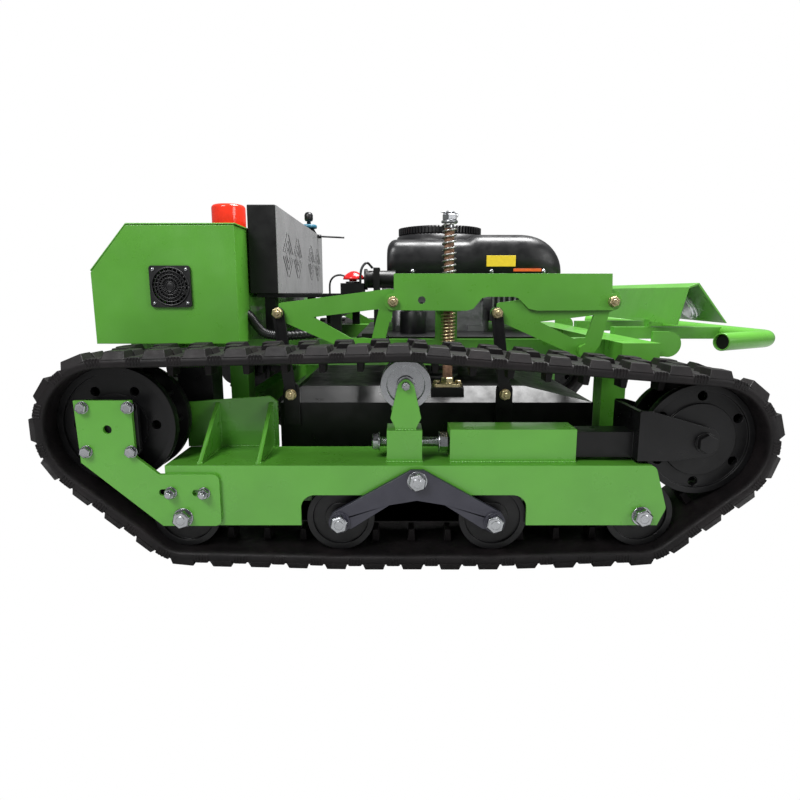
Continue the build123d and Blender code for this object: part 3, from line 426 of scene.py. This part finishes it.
def belt_place(pieces, distance):
    """Point and outward direction at a distance along the loop."""
    distance %= sum(p[0] for p in pieces)
    for index, (length, first, second, angle) in enumerate(pieces):
        if distance <= length:
            break
        distance -= length
    if index % 2 == 0:
        share = distance / length
        x = first[0] + share * (second[0] - first[0])
        z = first[1] + share * (second[1] - first[1])
    else:
        radius = first[2] + second
        angle -= distance / radius
        x, z = first[0] + radius * math.cos(angle), first[1] + radius * math.sin(angle)
    return Vector((x, 0, z)), Vector((math.cos(angle), 0, math.sin(angle)))


def make_band(side, node, pieces, steps, y_mid, half):
    """The belt's plain band, swept round the loop."""
    total = sum(p[0] for p in pieces)
    # cross-section: across (y, in metres) and out from the middle line (in millimetres)
    section = [(-half, -5.5), (-half + 0.003, -9.0), (-half + 0.012, -10), (-0.03, -10), (-0.022, -8.4),
               (0.022, -8.4), (0.03, -10), (half - 0.012, -10), (half - 0.003, -9.0), (half, -5.5),
               (half + 0.0005, 0), (half, 4.5), (half - 0.004, 9), (0, 9.4), (-half + 0.004, 9), (-half, 4.5),
               (-half - 0.0005, 0)]
    work = bmesh.new()
    rings = []
    for k in range(steps):
        point, out = belt_place(pieces, total * k / steps)
        rings.append([work.verts.new(point + out * (o * MM) + Vector((0, y_mid + y, 0))) for y, o in section])
    size = len(section)
    for k in range(steps):
        one, two = rings[k], rings[(k + 1) % steps]
        for n in range(size):
            m = (n + 1) % size
            work.faces.new((one[n], one[m], two[m], two[n]))
    band = add_piece(f"belt_band_{side}", finish_mesh(work), BODY_OF[node], "track_rubber")
    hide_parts(node)


def make_lugs(side, sign, node, pieces, count, y_mid, half):
    """Tread lugs, grooved side buttresses and inner drive lugs: blocks between distances along the belt."""
    total = sum(p[0] for p in pieces)
    pitch = total / count
    # the first row sits at the rearmost place of the loop
    back = min(range(LOOP_SAMPLES), key=lambda k: belt_place(pieces, total * k / LOOP_SAMPLES)[0].x)
    back = back * total / LOOP_SAMPLES
    lugs = bmesh.new()
    random.seed(7)

    def lug(centre, long_low, long_top, y0, y1, base, top, cut_low=0.0, cut_high=0.0):
        """One rubber block; its top is shorter than its foot, and cut back at either end across the belt."""
        corners = []
        for height, length in ((base, long_low), (top, long_top)):
            for s, y in ((-1, y0), (1, y0), (1, y1), (-1, y1)):
                cut = 0.0
                if height == top and y == y0:
                    cut = cut_low
                if height == top and y == y1:
                    cut = cut_high
                point, out = belt_place(pieces, centre + s * length / 2)
                inward = 1 if y == y0 else -1
                corners.append(point + out * height + Vector((0, y_mid + y + inward * cut, 0)))
        add_block(lugs, corners)

    for k in range(count):
        at = back + k * pitch
        wear = random.uniform(-0.0012, 0)
        for flank in (-1, 1):
            centre = at + (0 if flank == sign else pitch / 2)
            between = centre + pitch / 2
            mid = flank * half * 0.52
            y0, y1 = sorted((flank * half, mid))
            cuts = {"cut_low": 0.009} if flank < 0 else {"cut_high": 0.009}
            lug(centre, 0.044, 0.035, y0, y1, 0.006, 0.0225 + wear, **cuts)
            y0, y1 = sorted((mid, flank * 0.004))
            lug(centre + 0.006, 0.036, 0.025, y0, y1, 0.007, 0.0205 + wear)
            # grooved buttress on the belt's side, between two lugs
            y0, y1 = sorted((flank * (half + 0.0016), flank * (half - 0.010)))
            for rib in (-2, -1, 0, 1, 2):
                crest = 0.0103 - abs(rib) * 0.0004
                lug(between + rib * 0.0056, 0.0038, 0.0030, y0, y1, -0.005, crest)
            y0, y1 = sorted((flank * half, flank * (half - 0.02)))
            lug(between, 0.028, 0.022, y0, y1, 0.004, 0.0108)
        lug(at, 0.0155, 0.011, -0.019, 0.019, -0.009, -0.034)
    add_piece(f"belt_lugs_{side}", finish_mesh(lugs), BODY_OF[node], "track_rubber", bevel=0.0016,
              smooth=False)


def make_belt(side, sign):
    node = f"track_belt_{side}"
    low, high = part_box(node)
    y_mid = (low.y + high.y) / 2
    half = (high.y - low.y) / 2
    pieces = belt_pieces(belt_loop(side), BELT_GAP + BELT_THICK / 2)
    count = round(sum(p[0] for p in pieces) / LUG_PITCH)
    make_band(side, node, pieces, count * 8, y_mid, half)
    make_lugs(side, sign, node, pieces, count, y_mid, half)


for side, sign in SIDES:
    make_belt(side, sign)


# ---- bolts, nuts and axle ends on the track units ----
def make_track_hardware(side, sign):
    out = Vector((0, sign, 0))
    sprocket = wheel(f"sprocket_{side}")
    plate_y = sign * PLATE_FACE_Y
    work = bmesh.new()
    for dx in (-1, 1):
        for dz in (-1, 1):
            at = (sprocket[0] + dx * BEARING_HOLES, plate_y, sprocket[1] + dz * BEARING_HOLES)
            add_hex(work, at, out, 18.5 * MM, 8.5 * MM)
    for x, z in ((-0.518, 0.155), (-0.456, 0.154)):
        add_hex(work, (x, plate_y, z), out, 18.5 * MM, 10 * MM, stud=7 * MM)
    for number, y in ((1, PLATE_FACE_Y), (4, 0.642)):
        x, z, _ = wheel(f"road_roller_{side}_{number}")
        add_hex(work, (x, sign * y, z), out, 30 * MM, 15 * MM, stud=0.4 * MM, stud_radius=9.5 * MM)
        add_lathe(work, (x, sign * y * 0.9, z), out, [(0, 0.01), (0.05, 0.01)], 20)
    x, z, _ = wheel(f"carrier_roller_{side}")
    add_hex(work, (x, sign * 0.616, z), out, 15 * MM, 7 * MM, washer=False, stud=1 * MM, stud_radius=4 * MM)
    add_lathe(work, (x, sign * 0.520, z), out, [(0, 0.008), (0.1, 0.008)], 20)
    low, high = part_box(f"bogie_rocker_{side}")
    pivot_x = (low.x + high.x) / 2
    add_hex(work, (pivot_x, sign * 0.6545, BOGIE_PIVOT_Z), out, 30 * MM, 14 * MM, stud=0.4 * MM,
            stud_radius=9.5 * MM)
    add_lathe(work, (pivot_x, sign * 0.49, BOGIE_PIVOT_Z), out, [(0, 0.012), (0.166, 0.012)], 20)
    forward = Vector((1, 0, 0))
    y = sign * TENSION_Y
    add_hex(work, (TENSION_HEAD_X, y, TENSION_Z), -forward, 30 * MM, 13 * MM)
    add_hex(work, (TENSION_NUT_X, y, TENSION_Z), forward, 32 * MM, 18 * MM)
    turns = [(0, 0.0096)]
    for k in range(54):
        turns += [((k * 3.3 + 0.8) * MM, 0.0088), ((k * 3.3 + 2.4) * MM, 0.0099)]
    add_lathe(work, (TENSION_HEAD_X, y, TENSION_Z), forward, turns, 24)
    return add_piece(f"track_hardware_{side}", finish_mesh(work), "chassis", "zinc_steel", bevel=0.0005,
                     smooth=False)


HARDWARE = [make_track_hardware(side, sign) for side, sign in SIDES]
for piece in HARDWARE:
    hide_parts("track_fasteners")


def make_bogie_nuts(side, sign):
    work = bmesh.new()
    for number in (2, 3):
        x, z, _ = wheel(f"road_roller_{side}_{number}")
        add_hex(work, (x, sign * BOGIE_NUT_Y, z), (0, sign, 0), 30 * MM, 14 * MM, stud=0.4 * MM,
                stud_radius=9.5 * MM)
    add_piece(f"bogie_nuts_{side}", finish_mesh(work), f"bogie_{side}", "zinc_steel", bevel=0.0005,
              smooth=False)


for side, sign in SIDES:
    make_bogie_nuts(side, sign)


# ---- spring rod ----
def coil(radius, low, high, turns):
    """Points of a helix round the z axis, 20 to a turn."""
    count = turns * 20
    points = []
    for k in range(count + 1):
        a = 2 * math.pi * turns * k / count
        points.append((radius * math.cos(a), radius * math.sin(a), low + (high - low) * k / count))
    return points


def make_spring_rod():
    low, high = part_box("spring_rod")
    x, y = (low.x + high.x) / 2, (low.y + high.y) / 2
    work = bmesh.new()
    turns = [(0, 0.0105)]
    height = 0.66 - low.z
    count = int(height / 0.0035)
    for k in range(count):
        turns += [(k * 0.0035 + 0.001, 0.0103), (k * 0.0035 + 0.0026, 0.0109)]
    add_lathe(work, (x, y, low.z), UP, turns, 24)
    rod = add_piece("spring_rod_thread", finish_mesh(work), "deck", "yellow_zinc", finish="rust_rod",
                    smooth=False)
    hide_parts("spring_rod", "rod_springs")
    for name, z0, z1, count, finish in (("upper", 0.494, 0.672, 14, "spring_wire"),
                                        ("lower", 0.404, 0.481, 10, "yellow_zinc")):
        work = bmesh.new()
        points = [(x + px, y + py, pz) for px, py, pz in coil(0.0140, z0 + 0.002, z1 - 0.002, count)]
        add_tube(work, points, 0.0021, 10)
        add_piece(f"{name}_spring", finish_mesh(work), "deck", "yellow_zinc", finish=finish)
    work = bmesh.new()
    add_lathe(work, (x, y, 0.670), UP, [(0, 0.0175), (0.0025, 0.018), (0.005, 0.017)], 32)
    add_hex(work, (x, y, 0.674), UP, 28 * MM, 12 * MM, washer=False)
    add_lathe(work, (x, y, 0.660), UP, [(0, 0.0088), (0.033, 0.0088), (0.0345, 0.0075)], 24)
    for k in range(6):
        a = k * math.pi / 3 + 0.3
        spot = Vector((x + 0.0115 * math.cos(a), y + 0.0115 * math.sin(a), 0.687))
        add_box(work, spot - Vector((0.0028, 0.0028, 0.002)), spot + Vector((0.0028, 0.0028, 0.005)))
    add_tube(work, line_points((x - 0.019, y - 0.003, 0.6925), (x + 0.018, y + 0.002, 0.6905), 6), 0.0015, 8)
    add_tube(work, line_points((x + 0.018, y + 0.002, 0.6905), (x + 0.0165, y, 0.682), 4), 0.0013, 8)
    add_piece("rod_top_nut", finish_mesh(work), "deck", "zinc_steel", bevel=0.0004, smooth=False)
    work = bmesh.new()
    add_box(work, (x - 0.026, y - 0.012, low.z), (x + 0.026, y + 0.012, low.z + 0.0075))
    for side in (-1, 1):
        add_lathe(work, (x + side * 0.022, y, low.z), UP, [(0, 0.0118), (0.0075, 0.0118)], 24)
        add_hex(work, (x + side * 0.024, y, low.z + 0.0075), UP, 13 * MM, 5 * MM, washer=False)
    add_hex(work, (x, y, low.z + 0.008), UP, 26 * MM, 12 * MM)
    add_lathe(work, (x, y, 0.400), UP, [(0, 0.0175), (0.003, 0.0175)], 32)
    add_piece("rod_foot_nut", finish_mesh(work), "deck", "yellow_zinc", bevel=0.0005, smooth=False)


make_spring_rod()


# ---- engine ----
def power(value, exponent):
    return math.copysign(abs(value) ** exponent, value)


def cowl_section(x, width, foot, top, sides=40, squareness=0.3):
    """Arched cross-section of the cowl, from the right foot over to the left foot."""
    ring = []
    for k in range(sides + 1):
        a = math.pi * k / sides
        ring.append(Vector((x, -width * power(math.cos(a), squareness),
                            foot + (top - foot) * power(math.sin(a), squareness))))
    return ring


def loft(rings):
    work = bmesh.new()
    loops = [[work.verts.new(p) for p in ring] for ring in rings]
    for one, two in zip(loops, loops[1:]):
        for k in range(len(one) - 1):
            work.faces.new((one[k], one[k + 1], two[k + 1], two[k]))
    for end in (loops[0], loops[-1]):
        work.faces.new(end)
    for one, two in zip(loops, loops[1:]):
        work.faces.new((one[0], two[0], two[-1], one[-1]))
    return finish_mesh(work)


def make_cowl():
    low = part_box("engine_cowl")[0]
    foot = low.z - 0.020
    rings = []
    stations = 44
    nose_start, nose_end = 0.215, 0.328
    for k in range(stations + 1):
        x = low.x + (nose_end - low.x) * (0.5 - 0.5 * math.cos(math.pi * k / stations))
        nose = max(0.0, (x - nose_start) / (nose_end - nose_start))
        drop = math.sqrt(max(0.0, 1 - nose ** 2.3))
        heel = math.sqrt(max(0.0, 1 - (1 - min(1.0, (x - low.x) / 0.022)) ** 2))
        step = min(1.0, max(0.0, (x - 0.085) / 0.02))
        peak = 0.660 + 0.012 * step * step * (3 - 2 * step)
        top = foot + 0.014 + (peak - foot - 0.014) * max(0.02, drop) * (0.66 + 0.34 * heel)
        width = COWL_FLANK_Y * (0.66 + 0.34 * drop ** 0.6) * (0.95 + 0.05 * heel)
        rings.append(cowl_section(x, width, foot, top))
    cover = add_piece("engine_cowl_cover", loft(rings), "chassis", "black_plastic")
    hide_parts("engine_cowl")


def make_screen():
    """Crown of the cowl, and the finned screen that turns on top of it with the crankshaft."""
    x = (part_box("rotating_screen")[0].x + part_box("rotating_screen")[1].x) / 2
    work = bmesh.new()
    add_lathe(work, (x, 0, 0.640), UP, [(0, 0.128), (0.018, 0.127), (0.028, 0.121), (0.034, 0.118),
                                        (0.038, 0.112)], 64)
    add_piece("cowl_crown", finish_mesh(work), "chassis", "black_plastic")
    work = bmesh.new()
    add_lathe(work, (x, 0, 0.6785), UP, [(0, 0.1085), (0.002, 0.110), (0.016, 0.110), (0.0195, 0.107),
                                         (0.0200, 0.096), (0.0180, 0.092), (0.0180, 0.03), (0.0185, 0.0)], 96)
    inner, outer, wide = 0.1085, 0.1148, 0.0022
    for k in range(72):
        add_spoke(work, x, 2 * math.pi * k / 72, (0.6795, 0.697),
                  ((inner, -wide), (outer, -wide * 0.7), (outer, wide * 0.7), (inner, wide)))
    for k in range(20):
        add_spoke(work, x, 2 * math.pi * k / 20, (0.696, 0.6983),
                  ((0.028, -0.0016), (0.093, -0.0022), (0.093, 0.0022), (0.028, 0.0016)))
    screen = add_piece("screen_disc", finish_mesh(work), "crankshaft", "black_plastic", smooth=False)
    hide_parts("rotating_screen")
    work = bmesh.new()
    add_lathe(work, (x, 0, 0.600), UP, [(0, 0.013), (0.08, 0.013)], 24)
    add_piece("screen_shaft", finish_mesh(work), "crankshaft", "zinc_steel")


make_cowl()
make_screen()


def make_patches():
    """Plain coloured patches and dome screws on the cowl's right flank."""
    for name, finish, x0, x1, z0, z1 in (("yellow", "yellow_patch", 0.128, 0.201, 0.588, 0.615),
                                         ("orange", "orange_patch", 0.196, 0.266, 0.576, 0.583)):
        work = bmesh.new()
        add_box(work, (x0, -0.1925, z0), (x1, -0.188, z1))
        add_piece(f"{name}_patch", finish_mesh(work), "chassis", "black_plastic", finish=finish, bevel=0.0004,
                  smooth=False)
    work = bmesh.new()
    for x in (-0.058, 0.141, 0.272):
        add_lathe(work, (x, -0.189, COWL_SCREW_Z), (0, -1, 0), [(0, 0.0065), (0.003, 0.006), (0.005, 0.003),
                                                                (0.0055, 0)], 20)
    add_piece("cowl_screws", finish_mesh(work), "chassis", "zinc_steel")


make_patches()


# ---- pivot bolts of the lift linkage ----
def make_lift_bolts():
    """Yellow-zinc bolt heads on the crank pins and on the lower pins of the deck links."""
    for end, x in CRANK_PIVOT_X:
        for side, sign in SIDES:
            out = (0, sign, 0)
            work = bmesh.new()
            for dx, dz in ((-0.186, 0.079), (0.058, 0.103)):
                pin_x, pin_z = x + dx, CRANK_PIVOT_Z + dz
                add_lathe(work, (pin_x, sign * 0.4475, pin_z), out, [(0, 0.0115), (0.0015, 0.0112)], 28)
                add_hex(work, (pin_x, sign * 0.4485, pin_z), out, 20 * MM, 7 * MM, washer=False,
                        stud=2.5 * MM, stud_radius=5.5 * MM)
            add_piece(f"lift_bolts_{end}_{side}", finish_mesh(work), f"lift_{end}_{side}", "yellow_zinc",
                      bevel=0.0004, smooth=False)
    work = bmesh.new()
    for x in DECK_LINK_X:
        for _, sign in SIDES:
            out = (0, sign, 0)
            add_lathe(work, (x, sign * 0.4458, DECK_LINK_Z), out, [(0, 0.0125), (0.0016, 0.0122)], 28)
            add_hex(work, (x, sign * 0.4465, DECK_LINK_Z), out, 20.5 * MM, 8 * MM, washer=False,
                    stud=3 * MM, stud_radius=5 * MM)
    add_piece("deck_link_heads", finish_mesh(work), "deck", "yellow_zinc", bevel=0.0004, smooth=False)


make_lift_bolts()


# ---- fan guard ----
def make_fan_guard():
    low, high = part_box("fan_guard")
    x, z = (low.x + high.x) / 2, (low.z + high.z) / 2
    y = low.y
    work = bmesh.new()

    def hoop(radius, y_at, count):
        angles = [2 * math.pi * k / count for k in range(count + 1)]
        return [(x + radius * math.cos(a), y_at, z + radius * math.sin(a)) for a in angles]

    add_tube(work, hoop(0.038, y - 0.0005, 64), 0.002, 8)
    for radius in (0.031, 0.024, 0.017, 0.010):
        add_tube(work, hoop(radius, y - 0.001, 48), 0.0014, 6)
    for k in range(24):
        a = 2 * math.pi * k / 24
        add_tube(work, [(x + r * math.cos(a + r * 9), y, z + r * math.sin(a + r * 9))
                        for r in (0.008, 0.016, 0.024, 0.032, 0.038)], 0.0011, 6)
    add_lathe(work, (x, y + 0.003, z), (0, -1, 0), [(0, 0.009), (0.004, 0.0085), (0.0045, 0.007)], 32)
    add_piece("fan_louvres", finish_mesh(work), "chassis", "black_plastic")
    work = bmesh.new()
    for dx in (-0.034, 0.034):
        for dz in (-0.034, 0.034):
            add_lathe(work, (x + dx, y, z + dz), (0, -1, 0), [(0, 0.0038), (0.0012, 0.0036), (0.002, 0.002),
                                                             (0.0021, 0)], 16)
    add_piece("fan_screws", finish_mesh(work), "chassis", "zinc_steel")


make_fan_guard()


# ---- electrics: vented box, mode knob and stop button ----
def make_vented_box():
    low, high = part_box("grille_box")
    work = bmesh.new()
    add_box(work, low, (high.x - 0.002, high.y, high.z))
    case = add_piece("vented_box_case", finish_mesh(work), "chassis", "black_paint", bevel=0.002)
    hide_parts("grille_box")
    work = bmesh.new()
    add_box(work, (high.x - 0.0022, low.y + 0.001, low.z + 0.001), (high.x, high.y - 0.001, high.z - 0.001))
    add_piece("vented_box_face", finish_mesh(work), "chassis", "black_paint", finish="satin_grey",
              bevel=0.0006, smooth=False)
    work = bmesh.new()
    half_y, half_z, slit = 0.068, 0.057, 0.0022
    for centre in (-0.255, -0.118, 0.118, 0.255):
        for share in (1.0, 0.66, 0.34):
            for dy, dz in ((1, 1), (1, -1), (-1, 1), (-1, -1)):
                wide, tall = dy * half_y * share, dz * half_z * share
                near = Vector((0, centre + wide * 0.9, GRILLE_MIDDLE_Z + tall * 0.1))
                far = Vector((0, centre + wide * 0.12, GRILLE_MIDDLE_Z + tall * 0.88))
                across = Vector((0, (far - near).z, -(far - near).y)).normalized() * slit
                corners = []
                for x in (high.x - 0.001, high.x + 0.0004):
                    corners += [Vector((x, p.y, p.z)) + s for p, s in
                                ((near, across), (far, across), (far, -across), (near, -across))]
                add_block(work, corners)
    add_piece("vented_box_slits", finish_mesh(work), "chassis", "black_paint", finish="black_plastic",
              smooth=False)


def make_knob():
    """Mode knob with its blue disc, and the aerial beside it."""
    x, y = -0.381, 0.250
    work = bmesh.new()
    add_lathe(work, (x, y, 0.711), UP, [(0, 0.024), (0.012, 0.017), (0.016, 0.015)], 40)
    add_lathe(work, (x, y, 0.736), UP, [(0, 0.007), (0.012, 0.006), (0.0125, 0.011), (0.017, 0.0135),
                                        (0.031, 0.0135), (0.037, 0.011), (0.040, 0.006), (0.0402, 0)], 40)
    add_tube(work, line_points((-0.357, 0.268, 0.703), (-0.270, 0.268, 0.699), 8), 0.0028, 12)
    add_tube(work, line_points((-0.358, 0.268, 0.703), (-0.345, 0.268, 0.7025), 3), 0.006, 16)
    knob = add_piece("mode_knob", finish_mesh(work), "chassis", "black_plastic")
    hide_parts("top_knob")
    work = bmesh.new()
    add_lathe(work, (x, y, 0.7255), UP, [(0, 0.0235), (0.002, 0.0255), (0.009, 0.0255), (0.0115, 0.022)], 48)
    add_piece("mode_knob_disc", finish_mesh(work), "chassis", "black_plastic", finish="blue_plastic")


def make_tube_ends():
    """Dark inside of the bumper's open tube ends."""
    work = bmesh.new()
    for _, sign in SIDES:
        end = Vector((0.5896, sign * 0.459, 0.421))
        inward = Vector((0.163, -sign * 0.096, 0)).normalized()
        add_tube(work, line_points(end + inward * 0.008, end + inward * 0.085, 3), 0.0159, 32)
    add_piece("bumper_tube_shadow", finish_mesh(work), "chassis", "black_paint", smooth=False)


def make_stop_button():
    work = bmesh.new()
    # the head stands clear of its collar by the 4 mm that it is pressed; the stem goes into the collar's hole
    add_lathe(work, (-0.199, -0.300, 0.5496), UP, [(0, 0.009), (0.006, 0.009)], 24)
    add_lathe(work, (-0.197, -0.300, 0.5537), UP, [(0, 0.0246), (0.0012, 0.0252), (0.0039, 0.0245),
                                                   (0.0099, 0.0205), (0.0149, 0.0135), (0.0184, 0.0065),
                                                   (0.0193, 0)], 48)
    dome = add_piece("stop_dome", finish_mesh(work), BODY_OF["estop_button"], "red_plastic")
    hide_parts("estop_button")


make_vented_box()
make_knob()
make_stop_button()
make_tube_ends()


# ---- weld beads ----
def bead(work, start, end, radius):
    """Rippled weld bead from start to end."""
    count = max(8, int((Vector(end) - Vector(start)).length / 0.0016))
    add_tube(work, line_points(start, end, count), radius, 8, wave=lambda k: 0.82 + 0.22 * math.sin(k * 1.7))


def make_welds():
    for side, sign in SIDES:
        work = bmesh.new()
        # round the bolt block and along the guide tube
        for x in (-0.114, -0.047):
            bead(work, (x, sign * 0.620, FRAME_TOP_Z), (x, sign * 0.556, FRAME_TOP_Z), 0.0028)
        bead(work, (-0.114, sign * 0.620, FRAME_TOP_Z), (-0.047, sign * 0.620, FRAME_TOP_Z), 0.0028)
        bead(work, (0.006, sign * 0.6205, FRAME_TOP_Z), (0.246, sign * 0.6205, FRAME_TOP_Z), 0.003)
        # both sides of the two gussets and their back plate
        for x in (-0.468, -0.357):
            for dx in (-0.004, 0.004):
                bead(work, (x + dx, sign * 0.63, FRAME_TOP_Z), (x + dx, sign * 0.503, FRAME_TOP_Z), 0.0024)
                bead(work, (x + dx, sign * 0.503, FRAME_TOP_Z), (x + dx, sign * 0.503, 0.298), 0.0024)
        bead(work, (-0.489, sign * 0.5025, FRAME_TOP_Z), (-0.344, sign * 0.5025, FRAME_TOP_Z), 0.003)
        # foot of the top roller's outer blade, on the bolt block
        bead(work, (-0.098, sign * 0.6165, 0.268), (-0.058, sign * 0.6165, 0.268), 0.0024)
        add_piece(f"weld_beads_{side}", finish_mesh(work), "chassis", "green_paint")


make_welds()


# ---- hose and wires ----
def smooth_path(points, steps=12):
    """Catmull-Rom curve through a few guide points."""
    guide = [Vector(p) for p in points]
    guide = [guide[0] * 2 - guide[1]] + guide + [guide[-1] * 2 - guide[-2]]
    path = []
    for k in range(1, len(guide) - 2):
        a, b, c, d = guide[k - 1:k + 3]
        for n in range(steps):
            t = n / steps
            path.append(0.5 * (2 * b + (c - a) * t + (2 * a - 5 * b + 4 * c - d) * t * t
                               + (3 * b - a - 3 * c + d) * t ** 3))
    path.append(guide[-2])
    return path


def make_hoses():
    """Corrugated hose behind the lift crank, and the wires of the stop button and the actuator."""
    work = bmesh.new()
    route = smooth_path([(-0.432, -0.38, 0.478), (-0.419, -0.385, 0.468), (-0.405, -0.386, 0.448),
                         (-0.385, -0.384, 0.432), (-0.34, -0.372, 0.428), (-0.27, -0.35, 0.432)], 24)
    add_tube(work, route, 0.011, 14, wave=lambda k: 0.88 + 0.14 * (k % 3 == 0))
    route = smooth_path([(-0.2535, -0.302, 0.518), (-0.2525, -0.302, 0.546), (-0.243, -0.303, 0.560),
                         (-0.228, -0.302, 0.564), (-0.214, -0.301, 0.560)])
    add_tube(work, route, 0.0022, 10)
    route = smooth_path([(-0.180, -0.322, 0.528), (-0.180, -0.324, 0.560), (-0.176, -0.322, 0.580),
                         (-0.165, -0.315, 0.591), (-0.153, -0.306, 0.580)])
    add_tube(work, route, 0.0028, 10)
    add_piece("hose_and_wires", finish_mesh(work), "chassis", "black_plastic")


make_hoses()
